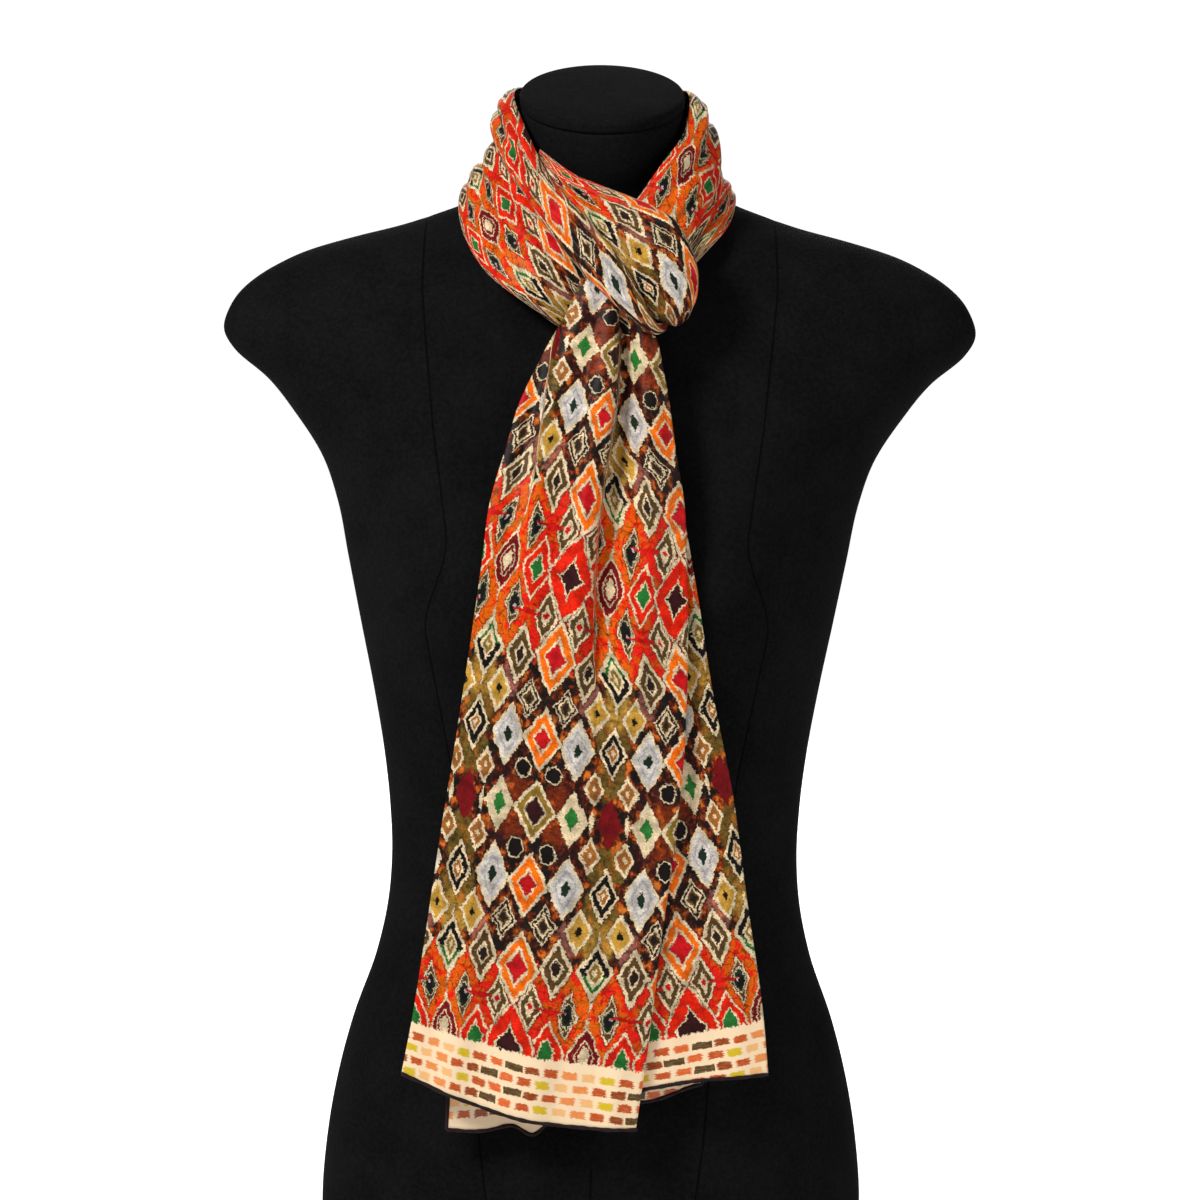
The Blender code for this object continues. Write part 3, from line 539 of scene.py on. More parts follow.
# Soft steps: where each begins and ends, and what it gives there if that isn't 0 and 1.
STEPS = {
    "dash end": (0.6, -0.6),
    "dash side": (DASH_HALF + 0.25, DASH_HALF - 0.25),
    "dash wash": (0.25, 0.6, 0.86, 1.0),
    "dark wash": (0.34, 0.68),
    "vein": (0.004, 0.03, 0.75, 0.0),
    "dark band": (-1.0, 1.5),
    "patch edge": (1.0, 0.72),
    "patch band": (-1.0, 2.0, 0.0, 0.7),
    "patch grain": (0.3, 0.62, 0.25, 1.0),
    "wash shade": (0.28, 0.72, 0.56, 1.18),
    "grain shade": (0.25, 0.75, 0.66, 1.16),
    "border": (BORDER - 0.3, BORDER + 0.3),
    "hem mottle": (0.35, 0.8),
    "jersey mottle": (0.3, 0.72),
    "jersey cloud": (0.3, 0.7),
    "seam": (0.9, 0.2),
    "floor tone": (0.2, 0.8),
}

# Each bump's strength, and its height in metres.
BUMPS = {
    "weave": (0.10, 0.0001),
    "creases": (0.35, 0.0016),
    "hem": (0.5, 0.0003),
    "jersey": (0.5, 0.0004),
}

# What is the same all over a surface, by the names of the shader's own sockets.
FINISHES = {
    "silk": {"Specular IOR Level": 0.09, "Sheen Weight": 0.02, "Sheen Roughness": 0.4},
    "hem": {"Roughness": 0.7, "Specular IOR Level": 0.15},
    "jersey": {
        "Roughness": 0.88, "Specular IOR Level": 0.02, "Sheen Weight": 0.003,
        "Sheen Roughness": 0.6,
    },
    "floor": {"Roughness": 0.9, "Specular IOR Level": 0.1, "Emission Color": (1, 1, 1, 1)},
}
# The weave of the silk, and the stitches of its hem.
TWILL = {"Scale": 420.0, "Distortion": 0.6, "Detail": 1.0}
STITCHES = {"Scale": 55.0}
# Where the crepe's roughness begins and ends, and how far it strays from the silk's own.
CREPE_STEP, CREPE_ROUGHNESS = (0.2, 0.8), (-0.06, 0.08)
# What the wrong side of the silk is washed out with: partly its own paleness, partly painted shade
# that cools the back end's cream.
WASHED_OUT_AND_SHADED = (0.70, 0.70, 0.70, 1.0)
# The light mottling of the hem, from its own colour.
HEM_LIGHTER, HEM_LIFT = 1.8, 0.004
# The jersey's darker and lighter tones, and how much of them lies in broad clouds.
JERSEY_TONES, CLOUD_SHARE = (0.62, 1.55), 0.35
# The knit of the jersey: its stretch and scale, and how far it stands out.
KNIT_STRETCH, KNIT_SCALE, KNIT_HEIGHT = (1.0, 1.0, 0.7), 900.0, 0.6
# The seams: their colour, how strong it is, and how far they sink.
SEAM_COLOUR, SEAM_STRENGTH, SEAM_SINK = (0.001, 0.001, 0.001, 1.0), 0.7, -3.0

# The lights: where each stands, and how wide it is. They look at the same point, and the one
# above has a share of the fill light's power.
LIGHTS = {
    "key": ((-1.5, -1.45, 2.1), 0.7),
    "fill": ((1.9, -1.15, 1.2), 1.4),
    "top": ((0.0, 0.3, 2.4), 1.6),
    "back": ((0.1, 2.4, 1.3), 1.8),
}
LIGHT_AIM = (0, 0, 0.45)
TOP_SHARE = 0.18
# How bright the white room is to the camera, and how much light it gives.
ROOM_SEEN, ROOM_LIT = 1.05, 0.11
# The floor: its radius and sides, its darker tone, its light, and what the camera sees besides.
FLOOR_RADIUS, FLOOR_AROUND, FLOOR_SHADE = 14, 96, 0.97
FLOOR_GLOW, FLOOR_SEEN = 0.1, 0.8
# The camera's film, in millimetres.
SENSOR_WIDTH = 36

# The cloth's other colours, as red, green and blue from 0 to 255.
PALETTE = {
    "crimson": (202, 20, 26),
    "blood": (206, 20, 16),
    "vein": (128, 22, 6),
    "wine": (122, 16, 20),
    "rose": (190, 112, 98),
    "leaf": (48, 124, 52),
    "bottle": (28, 46, 34),
    "ink": (24, 18, 16),
    "soot": (42, 28, 20),
    "umber": (92, 66, 34),
    "rust": (150, 54, 14),
    "olive": (142, 112, 40),
    "tan": (164, 100, 42),
    "amber": (206, 112, 36),
    "plum": (56, 20, 22),
    "lavender": (216, 207, 196),
    "grey": (180, 174, 174),
    "bronze": (84, 60, 22),
    "chestnut": (146, 60, 12),
    "brick": (190, 76, 18),
    "peach": (232, 138, 72),
    "pale_peach": (240, 182, 118),
    "yellow": (212, 180, 20),
    "coral": (222, 98, 40),
    "ivory": (246, 217, 178),
}


def linear(colour):
    """A colour given from 0 to 255 as the linear one that a shader takes."""
    shares = [value / 255 for value in colour]
    return tuple(
        share / 12.92 if share <= 0.04045 else ((share + 0.055) / 1.055) ** 2.4 for share in shares
    )


def number(name, description, default, low, high, **kind):
    """A setting that is a number."""
    return bpy.props.FloatProperty(
        name=name, description=description, default=default, min=low, max=high, **kind
    )


def metres(name, description, default, low, high):
    """A setting that is a length in metres."""
    return number(name, description, default, low, high, unit="LENGTH")


def colour_property(name, description, colour):
    """A setting that is a colour, given from 0 to 255."""
    return bpy.props.FloatVectorProperty(
        name=name, description=description, default=linear(colour), subtype="COLOR", min=0, max=1
    )


class ScarfSettings(bpy.types.PropertyGroup):
    """Sizes and colours of the scarf."""

    thickness: metres("Cloth thickness", "How thick the silk is drawn", 0.00045, 0.0001, 0.0012)
    hem_radius: metres("Hem radius", "Half the thickness of the rolled hem", 0.0011, 0.0003, 0.003)
    column: metres("Print column", "Half of the print's repeat across the cloth", 0.0405, 0.01, 0.2)
    row: metres("Print row", "Half of the print's repeat along the cloth", 0.135, 0.03, 0.5)
    first_row: metres(
        "First red band", "How far the first red band is from the hem", 0.041, 0.0, 0.2
    )
    feather: metres("Feathering", "How far the edges of the motifs stray", 0.00125, 0.0, 0.005)
    roughness: number("Silk roughness", "How dull the silk is", 0.46, 0, 1, subtype="FACTOR")
    cream: colour_property("Cream", "The ground of the print and its outlines", (234, 210, 168))
    scarlet: colour_property("Scarlet", "The red of the lattice and the large stars", (230, 34, 6))
    orange: colour_property("Orange", "The orange of the lattice", (250, 112, 8))
    green: colour_property("Green", "The middles of the red lozenges", (38, 112, 46))
    ochre: colour_property("Ochre", "The yellow lozenges", (206, 156, 60))
    mahogany: colour_property("Mahogany", "The ground of the dark bands", (88, 32, 13))
    hem: colour_property("Hem", "The rolled hem", (30, 16, 15))


class FormSettings(bpy.types.PropertyGroup):
    """Sizes and colours of the dress form."""

    cap_thickness: metres("Cap thickness", "How thick the neck cap is", 0.0075, 0.003, 0.02)
    cap_round: metres("Cap rim", "Radius of the cap's rounded rim", 0.0024, 0.0005, 0.0035)
    cap_crown: metres("Cap crown", "How far the cap's top is padded", 0.0012, 0.0, 0.003)
    jersey: colour_property("Jersey", "The form's knitted cover", (16, 16, 17))


class StageSettings(bpy.types.PropertyGroup):
    """The camera, the lights and the floor."""

    distance: metres("Camera distance", "From the middle of the form", 2.6, 1.0, 6.0)
    elevation: number(
        "Camera elevation", "How far it looks down", math.radians(5), 0.0, 1.2, subtype="ANGLE"
    )
    roll: number(
        "Camera roll", "How far the picture leans", math.radians(0.6), -0.2, 0.2, subtype="ANGLE"
    )
    lens: number("Lens", "Focal length in millimetres", 130, 20, 300)
    target: bpy.props.FloatVectorProperty(
        name="Target", description="The point in the middle of the picture",
        default=(0.0018, 0.0, 0.414), subtype="XYZ", unit="LENGTH",
    )
    key: number("Key light", "Power of the main light, in watts", 66, 0, 500)
    fill: number("Fill light", "Power of the fill light, in watts", 17, 0, 500)
    back: number("Back light", "Power of the light behind, in watts", 26, 0, 500)
    floor: colour_property("Floor", "The floor and what lies behind", (250, 250, 250))


def column(table, columns, name):
    """One named column of a table."""
    return np.array([row[columns.index(name)] for row in table], float)


def smooth_through(places, values, at):
    """A smooth curve that passes through each value at its place, read at the places asked for."""
    steps = np.diff(places)
    slopes = np.diff(values) / steps
    tangents = np.empty_like(values)
    tangents[1:-1] = (slopes[1:] * steps[:-1] + slopes[:-1] * steps[1:]) / (steps[1:] + steps[:-1])
    tangents[0], tangents[-1] = slopes[0], slopes[-1]
    index = np.clip(np.searchsorted(places, at, side="right") - 1, 0, len(steps) - 1)
    step = steps[index]
    t = (at - places[index]) / step
    start, end = values[index], values[index + 1]
    rise, fall = tangents[index] * step, tangents[index + 1] * step
    return (
        start * (2 * t**3 - 3 * t**2 + 1)
        + rise * (t**3 - 2 * t**2 + t)
        + end * (3 * t**2 - 2 * t**3)
        + fall * (t**3 - t**2)
    )


def ramp(value, low, high):
    """0 below low, 1 above high, and a soft step between them."""
    t = np.clip((value - low) / (high - low), 0, 1)
    return t * t * (3 - 2 * t)


def superellipse(angle, full):
    """A point of a rounded outline of unit size."""
    c, s = np.cos(angle), np.sin(angle)
    power = 2 / full
    return np.sign(c) * np.abs(c) ** power, np.sign(s) * np.abs(s) ** power


def torso_point(height, angle):
    """A point of the dress form's skin, by height and angle round it."""
    heights = column(TORSO, TORSO_COLUMNS, "height")
    size = {
        name: smooth_through(heights, column(TORSO, TORSO_COLUMNS, name), height)
        for name in TORSO_COLUMNS[1:]
    }
    across, deep = superellipse(angle, size["full"])
    x = across * size["half"]
    reach = np.where(deep < 0, size["front"] + size["middle"], size["back"] - size["middle"])
    y = size["middle"] + deep * reach
    side = (np.abs(x) - BUST["across"]) / BUST["wide"]
    rise = (height - BUST["height"]) / BUST["tall"]
    y = y - BUST["swell"] * np.exp(-(side**2) - rise**2) * ramp(-deep, 0, BUST["side_fade"])
    z = height + y * np.tan(np.radians(size["tilt"]))
    return x, y, z


def trough(offset, wide, deep):
    """A soft trough of this half width and depth."""
    return deep * np.exp(-((offset / wide) ** 2))


def fold_depth(folds, run, across, width):
    """How deep the folds lie at these shares of the run and of the way across."""
    depth = 0
    for fold in folds:
        row = dict(zip(FOLD_COLUMNS, fold))
        t = np.clip((run - row["run_start"]) / (row["run_end"] - row["run_start"]), 0, 1)
        middle = row["across_start"] + (row["across_end"] - row["across_start"]) * t
        fade = np.sin(np.pi * t) ** FOLD_FADE
        depth = depth + trough((across - middle) * width, row["wide"], row["deep"]) * fade
    return depth


def unit(vectors):
    """The same directions with a length of 1."""
    return vectors / np.linalg.norm(vectors, axis=-1, keepdims=True)


def roll_stations(rows):
    """The distance of each station along the middle of a roll, and the columns as arrays."""
    columns = {name: column(rows, ROLL_COLUMNS, name) for name in ROLL_COLUMNS}
    middle = np.stack(
        [(columns[f"upper_{axis}"] + columns[f"lower_{axis}"]) / 2 for axis in "xyz"], axis=1
    )
    steps = np.linalg.norm(np.diff(middle, axis=0), axis=1)
    return np.concatenate([[0], np.cumsum(steps)]), columns


def roll_edges(rows, distance):
    """The upper and the lower edge of a roll at these distances along it."""
    places, columns = roll_stations(rows)
    return [
        np.stack(
            [smooth_through(places, columns[f"{edge}_{axis}"], distance) for axis in "xyz"], axis=-1
        )
        for edge in ("upper", "lower")
    ]


def roll_frame(rows, distance):
    """The two edges of a roll, with the directions over it and out of it."""
    length = roll_stations(rows)[0][-1]
    upper, lower = roll_edges(rows, distance)
    along = sum(roll_edges(rows, np.clip(distance + DIRECTION_STEP, 0, length)))
    along = along - sum(roll_edges(rows, np.clip(distance - DIRECTION_STEP, 0, length)))
    return upper, lower, unit(lower - upper), unit(np.cross(lower - upper, along))


def lower_roll_rows():
    """The lower roll's stations, with its upper edge tucked behind the upper roll."""
    places = roll_stations(UPPER_ROLL)[0][: len(LOWER_ROLL)]
    _, lower, over, out = roll_frame(UPPER_ROLL, places)
    tuck_in = column(LOWER_ROLL, LOWER_COLUMNS, "tuck_in")[:, None]
    tuck_up = column(LOWER_ROLL, LOWER_COLUMNS, "tuck_up")[:, None]
    upper = lower - out * tuck_in - over * tuck_up
    return tuple((*edge, *row[:6]) for edge, row in zip(upper, LOWER_ROLL))


def roll_point(rows, folds, share, across):
    """A point of a roll of cloth. share runs along it and across runs over it, from 0 to 1."""
    places, columns = roll_stations(rows)
    distance = share * places[-1]
    upper, lower, over, out = roll_frame(rows, distance)
    bulge, upper_turn, lower_turn = (
        smooth_through(places, columns[name], distance) for name in ROLL_COLUMNS[-3:]
    )
    angle = np.radians((upper_turn + lower_turn) * across - upper_turn)
    half = np.linalg.norm(lower - upper, axis=-1) / 2
    cosine, sine = np.cos(angle), np.sin(angle)
    depth = bulge * np.where(cosine > 0, 1, -RETURN_SHARE) * np.abs(cosine) ** CROWN_POWER
    depth = depth - fold_depth(folds, share, (sine + 1) / 2, 1)
    middle = (upper + lower) / 2
    return middle + over * (half * sine)[..., None] + out * depth[..., None]


def tail_point(rows, folds, hem_sag, hem_waves, edge_fold, down, across):
    """A point of a hanging end. down runs from the knot to the hem and across from its left edge
    to its right one, whose last part, edge_fold, turns under."""
    left = np.stack([column(rows, TAIL_COLUMNS, name) for name in ("left_x", "left_z")], axis=1)
    right = np.stack([column(rows, TAIL_COLUMNS, name) for name in ("right_x", "right_z")], axis=1)
    steps = np.linalg.norm(np.diff((left + right) / 2, axis=0), axis=1)
    places = np.concatenate([[0], np.cumsum(steps)]) / steps.sum()
    size = {
        name: smooth_through(places, column(rows, TAIL_COLUMNS, name), down)
        for name in TAIL_COLUMNS
    }
    flat = np.clip(across / (1 - edge_fold), 0, 1) if edge_fold else across
    x = size["left_x"] + (size["right_x"] - size["left_x"]) * flat
    z = size["left_z"] + (size["right_z"] - size["left_z"]) * flat
    low = hem_sag * np.sin(np.pi * flat)
    for wave in hem_waves:
        row = dict(zip(HEM_WAVE_COLUMNS, wave))
        low = low + trough(flat - row["across"], row["wide"], row["low"])
    z = z - low * ramp(down, HEM_SAG_START, 1)
    y = size["front_y"] + size["edge_drop"] * np.abs(2 * flat - 1) ** EDGE_BEND
    y = y + fold_depth(folds, down, flat, size["right_x"] - size["left_x"])
    flat_x = x
    run = np.zeros_like(x)
    if edge_fold:
        beyond = np.clip((across - (1 - edge_fold)) / edge_fold, 0, 1)
        run = beyond * (math.pi * EDGE_FOLD_RADIUS + EDGE_FOLD_RETURN)
        turn = np.clip(run / EDGE_FOLD_RADIUS, 0, math.pi)
        back = np.clip(run - math.pi * EDGE_FOLD_RADIUS, 0, None)
        x = x + EDGE_FOLD_RADIUS * np.sin(turn) - back
        y = y + EDGE_FOLD_RADIUS * (1 - np.cos(turn))
    return np.stack([x, y, z], axis=-1), flat_x, run


def thin_plate(anchors, stiffness=0.02):
    """A smooth field that gives the print's column and row from a place, by its anchors."""
    known = np.array(anchors, float)
    places, values = known[:, :2], known[:, 2:]
    scale = np.ptp(places, axis=0).max()

    def kernel(a, b):
        far = np.linalg.norm(a[:, None] - b[None], axis=2) / scale
        return np.where(far > 0, far**2 * np.log(np.maximum(far, 1e-9)), 0)

    def plane(a):
        return np.column_stack([np.ones(len(a)), a / scale])

    count = len(places)
    system = np.zeros((count + 3, count + 3))
    system[:count, :count] = kernel(places, places) + stiffness * np.eye(count)
    system[:count, count:] = plane(places)
    system[count:, :count] = plane(places).T
    weights = np.linalg.solve(system, np.vstack([values, np.zeros((3, 2))]))
    return lambda at: kernel(at, places) @ weights[:count] + plane(at) @ weights[count:]


def hidden_columns(tucks, x, z):
    """How many columns of the print the tucks have hidden to the left of a point."""
    hidden = 0
    for tuck, _ in tucks:
        line, width = (tuck_value(tuck, name, z) for name in ("across", "hidden"))
        hidden = hidden + width * ramp(x - line, -TUCK_EASE, TUCK_EASE)
    return hidden


def tuck_value(tuck, name, z):
    """One column of a pleat's table, read at these heights."""
    return np.interp(z, column(tuck, TUCK_COLUMNS, "height"), column(tuck, TUCK_COLUMNS, name))


def pleat_depth(tucks, x, z):
    """How deep the cloth lies beside the edges of the pleats."""
    depth = 0
    for tuck, side in tucks:
        line, deep, wide = (tuck_value(tuck, name, z) for name in ("across", "deep", "wide"))
        beyond = (x - line) * side
        floor = np.exp(-((np.clip(beyond, 0, None) / wide) ** PLEAT_POWER))
        depth = depth + deep * np.where(beyond > 0, floor, np.exp(-((beyond / PLEAT_EDGE) ** 2)))
    return depth


def end_print(anchors, tucks):
    """The print's place on a hanging end, from its x and z and from how far its edge has turned."""
    flattened = [
        (x, z, across - float(np.sum(hidden_columns(tucks, np.array(x), np.array(z)))), along)
        for x, z, across, along in anchors
    ]
    field = thin_plate(flattened)

    def at(x, z, run, column_width):
        place = field(np.column_stack([x, z]))
        across = place[:, 0] + hidden_columns(tucks, x, z) + run / column_width
        return np.column_stack([across * column_width, place[:, 1]])

    return at


def mesh_of(shape, mesh):
    """Writes a shape into a mesh and lets the shape go."""
    shape.to_mesh(mesh)
    shape.free()
    return mesh


def points_of(mesh):
    """The mesh's points, a row to a point."""
    flat = np.empty(len(mesh.vertices) * 3)
    mesh.vertices.foreach_get("co", flat)
    return flat.reshape(-1, 3)


def shape_of(mesh):
    """A shape that is a copy of a mesh."""
    shape = bmesh.new()
    shape.from_mesh(mesh)
    return shape


def new_mesh_object(name, mesh, material):
    """A smooth object of a mesh and its material, in the scene."""
    mesh.shade_smooth()
    mesh.materials.append(material)
    item = bpy.data.objects.new(name, mesh)
    bpy.context.scene.collection.objects.link(item)
    return item


def bent_grid(name, point_at, along, across, material, closed=False):
    """A grid whose points are moved to where point_at says. point_at takes the shares along and
    across, and gives the points and the print's coordinates, both in millimetres."""
    shape = bmesh.new()
    bmesh.ops.create_grid(shape, x_segments=along, y_segments=across, size=0.5)
    mesh = mesh_of(shape, bpy.data.meshes.new(name))
    share = points_of(mesh)[:, :2] + 0.5
    places, cloth = point_at(share[:, 0], share[:, 1])
    mesh.vertices.foreach_set("co", (places * MM).ravel())
    corners = np.empty(len(mesh.loops), int)
    mesh.loops.foreach_get("vertex_index", corners)
    layer = mesh.uv_layers.new(name="cloth")
    layer.uv.foreach_set("vector", (cloth * MM)[corners].ravel())
    mesh.update()
    if closed:
        shape = shape_of(mesh)
        bmesh.ops.remove_doubles(shape, verts=shape.verts, dist=SAME_POINT)
        bmesh.ops.holes_fill(shape, edges=shape.edges, sides=0)
        bmesh.ops.recalc_face_normals(shape, faces=shape.faces)
        mesh_of(shape, mesh)
    return new_mesh_object(name, mesh, material)


def wall(item, thickness):
    """Gives a cloth its thickness, inwards from its outer face."""
    solid = item.modifiers.new("cloth thickness", "SOLIDIFY")
    solid.thickness = thickness
    solid.offset = -1
    solid.use_even_offset = False


def piece(item, slot, *nodes):
    """Joins a piece to the part's body and hides the solids that it stands for. The slot is not
    used.
    """
    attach(item, BODY)
    if nodes:
        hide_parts(*nodes)
    return item


class Shader:
    """Adds nodes to a tree, one call to a node."""

    def __init__(self, tree):
        self.tree = tree

    def put(self, socket, value):
        if isinstance(value, bpy.types.NodeSocket):
            self.tree.links.new(value, socket)
        elif value is not None:
            socket.default_value = value

    def node(self, kind, **settings):
        made = self.tree.nodes.new(kind)
        for name, value in settings.items():
            setattr(made, name, value)
        return made

    def math(self, operation, a, b=None, c=None):
        made = self.node("ShaderNodeMath", operation=operation)
        for socket, value in zip(made.inputs, (a, b, c)):
            self.put(socket, value)
        return made.outputs[0]

    def vector(self, operation, a, b=None, scale=None):
        made = self.node("ShaderNodeVectorMath", operation=operation)
        self.put(made.inputs[0], a)
        self.put(made.inputs[1], b)
        if scale is not None:
            self.put(made.inputs["Scale"], scale)
        return made.outputs["Value" if operation in ("DOT_PRODUCT", "LENGTH") else "Vector"]

    def split(self, vector):
        made = self.node("ShaderNodeSeparateXYZ")
        self.put(made.inputs[0], vector)
        return made.outputs[0], made.outputs[1]

    def join(self, x, y):
        made = self.node("ShaderNodeCombineXYZ")
        self.put(made.inputs[0], x)
        self.put(made.inputs[1], y)
        return made.outputs[0]

    def step(self, value, low, high, start=0.0, end=1.0):
        """A soft step between two values."""
        made = self.node("ShaderNodeMapRange", interpolation_type="SMOOTHSTEP")
        for socket, setting in zip(made.inputs, (value, low, high, start, end)):
            self.put(socket, setting)
        return made.outputs[0]

    def noise(self, vector, name):
        """A named noise, as a number and as three of them."""
        made = self.node("ShaderNodeTexNoise", noise_dimensions="3D")
        self.put(made.inputs["Vector"], vector)
        for socket, value in zip(("Scale", "Detail", "Roughness"), NOISES[name]):
            made.inputs[socket].default_value = value
        return made.outputs["Fac"], made.outputs["Color"]

    def mix(self, share, a, b, blend="MIX"):
        made = self.node("ShaderNodeMix", data_type="RGBA", blend_type=blend)
        for index, value in ((0, share), (6, a), (7, b)):
            self.put(made.inputs[index], value)
        return made.outputs[2]

    def ramp(self, value, stops, interpolation="CONSTANT"):
        """stops are (share, red, green, blue, alpha)."""
        made = self.node("ShaderNodeValToRGB")
        ramp_of = made.color_ramp
        ramp_of.interpolation = interpolation
        while len(ramp_of.elements) < len(stops):
            ramp_of.elements.new(1.0)
        for element, stop in zip(ramp_of.elements, stops):
            element.position = stop[0]
            element.color = stop[1:]
        self.put(made.inputs[0], value)
        return made.outputs[0], made.outputs[1]

    def grey(self, value):
        """The same value for red, green and blue."""
        made = self.node("ShaderNodeCombineXYZ")
        for socket in made.inputs:
            self.put(socket, value)
        return made.outputs[0]

    def wave(self, vector, direction, values):
        """Bands across a direction."""
        made = self.node("ShaderNodeTexWave", wave_type="BANDS", bands_direction=direction)
        self.put(made.inputs["Vector"], vector)
        set_inputs(made, values)
        return made.outputs["Fac"]

    def bump(self, height, name, below=None):
        """A named bump, over the one below it."""
        strength, distance = BUMPS[name]
        made = self.node("ShaderNodeBump")
        set_inputs(made, {"Strength": strength, "Distance": distance})
        self.put(made.inputs["Height"], height)
        self.put(made.inputs["Normal"], below)
        return made.outputs[0]


def set_inputs(node, values):
    """Sets a node's own sockets by their names."""
    for name, value in values.items():
        node.inputs[name].default_value = value


def opaque(colour):
    """A colour with nothing of what lies below it."""
    return (*colour[:3], 1.0)


def named_stops(stops, colours):
    """A ramp's stops from shares and names of colours."""
    return [(share, *colours[name], 1.0) for share, name in stops]


def ring_stops(row, colours):
    """A motif's rings from the middle out, and its dark outline, as a ramp's stops."""
    reaches = row["rings"][1::2]
    rim = reaches[-1]
    return [
        *named_stops(zip((0, *reaches), row["rings"][::2]), colours),
        (rim, *colours["soot"], OUTLINE_STRENGTH),
        (rim + OUTLINE / row["half_across"], 0, 0, 0, 0),
    ]


def motif(shader, place, row, colours, ground):
    """Lays one motif of the chart over the ground."""
    offset = shader.vector("SUBTRACT", place, (row["across"], row["along"], 0))
    sides = shader.vector("ABSOLUTE", offset)
    inverse = (1 / row["half_across"], 1 / row["half_along"], 0)
    if row["power"] == 1:
        reach = shader.vector("DOT_PRODUCT", sides, inverse)
    else:
        shares = shader.vector("MULTIPLY", sides, inverse)
        power = (row["power"], row["power"], 1)
        reach = shader.vector("DOT_PRODUCT", shader.vector("POWER", shares, power), (1, 1, 0))
    paint, cover = shader.ramp(reach, ring_stops(row, colours))
    if row["side"]:
        _, along = shader.split(offset)
        cover = shader.math("MULTIPLY", cover, shader.math("LESS_THAN", along, HALF_MOTIF_EDGE))
    return shader.mix(cover, ground, paint)


def patch(shader, place, row, past, dark_wash, fine_wash, colours, ground):
    """Lays one watercolour patch over the ground, in the dark band only."""
    offset = shader.vector("SUBTRACT", place, (row["across"], row["along"], 0))
    inverse = (1 / row["half_across"], 1 / row["half_along"], 0)
    reach = shader.vector("LENGTH", shader.vector("MULTIPLY", offset, inverse))
    reach = shader.math("SUBTRACT", reach, PATCH_PULL)
    reach = shader.math("MULTIPLY_ADD", dark_wash, PATCH_STRAY, reach)
    cover = shader.step(reach, *STEPS["patch edge"])
    cover = shader.math("MULTIPLY", cover, shader.step(past, *STEPS["patch band"]))
    cover = shader.math("MULTIPLY", cover, shader.step(fine_wash, *STEPS["patch grain"]))
    return shader.mix(cover, ground, opaque(colours[row["colour"]]))


def border_colour(shader, across, along, stray, colours, repeat):
    """The cream border with its rows of brushed dashes."""
    count = len(DASHES)
    level = shader.math("SUBTRACT", along, DASH_FIRST - DASH_PITCH / 2)
    level = shader.math("DIVIDE", level, DASH_PITCH)
    row = shader.math("FLOOR", level)
    odd = shader.math("FLOORED_MODULO", row, 2.0)
    turned = shader.math("MULTIPLY_ADD", odd, 2.0, -1.0)
    start = shader.math("MULTIPLY_ADD", odd, -sum(DASH_STARTS), DASH_STARTS[0])
    place = shader.math("MULTIPLY_ADD", shader.math("DIVIDE", across, repeat), turned, start)
    spot = shader.math("MULTIPLY_ADD", place, float(count), 0.5)
    order = shader.math("FLOORED_MODULO", shader.math("FLOOR", spot), float(count))
    order = shader.math("ADD", shader.math("DIVIDE", order, float(count)), 0.5 / count)
    paint, _ = shader.ramp(
        order, named_stops([(i / count, name) for i, (name, _) in enumerate(DASHES)], colours)
    )
    longest = max(length for _, length in DASHES)
    lengths = [(i / count, *[length / longest] * 3, 1.0) for i, (_, length) in enumerate(DASHES)]
    share, _ = shader.ramp(order, lengths)
    beside = shader.math("ABSOLUTE", shader.math("SUBTRACT", shader.math("FRACT", spot), 0.5))
    beside = shader.math("MULTIPLY", beside, repeat / count)
    beside = shader.math("MULTIPLY_ADD", share, -longest, beside)
    drawn = shader.join(shader.math("MULTIPLY", across, BRUSH_STRETCH), along)
    brush, _ = shader.noise(drawn, "brush")
    beside = shader.math("ADD", beside, shader.math("MULTIPLY_ADD", brush, *SHIFTS["brush"]))
    above = shader.math("ABSOLUTE", shader.math("SUBTRACT", shader.math("FRACT", level), 0.5))
    stray = shader.math("MULTIPLY", stray, DASH_STRAY)
    above = shader.math("MULTIPLY_ADD", above, DASH_PITCH, stray)
    ends, sides = shader.step(beside, *STEPS["dash end"]), shader.step(above, *STEPS["dash side"])
    after = shader.math("GREATER_THAN", row, -0.5)
    before = shader.math("LESS_THAN", row, DASH_ROWS - 0.5)
    inside = shader.math("MULTIPLY", ends, sides)
    inside = shader.math("MULTIPLY", inside, shader.math("MULTIPLY", after, before))
    drawn = shader.join(shader.math("MULTIPLY", across, DASH_WASH_STRETCH), along)
    wash, _ = shader.noise(drawn, "dashes")
    inside = shader.math("MULTIPLY", inside, shader.step(wash, *STEPS["dash wash"]))
    return shader.mix(inside, opaque(colours["ivory"]), paint)


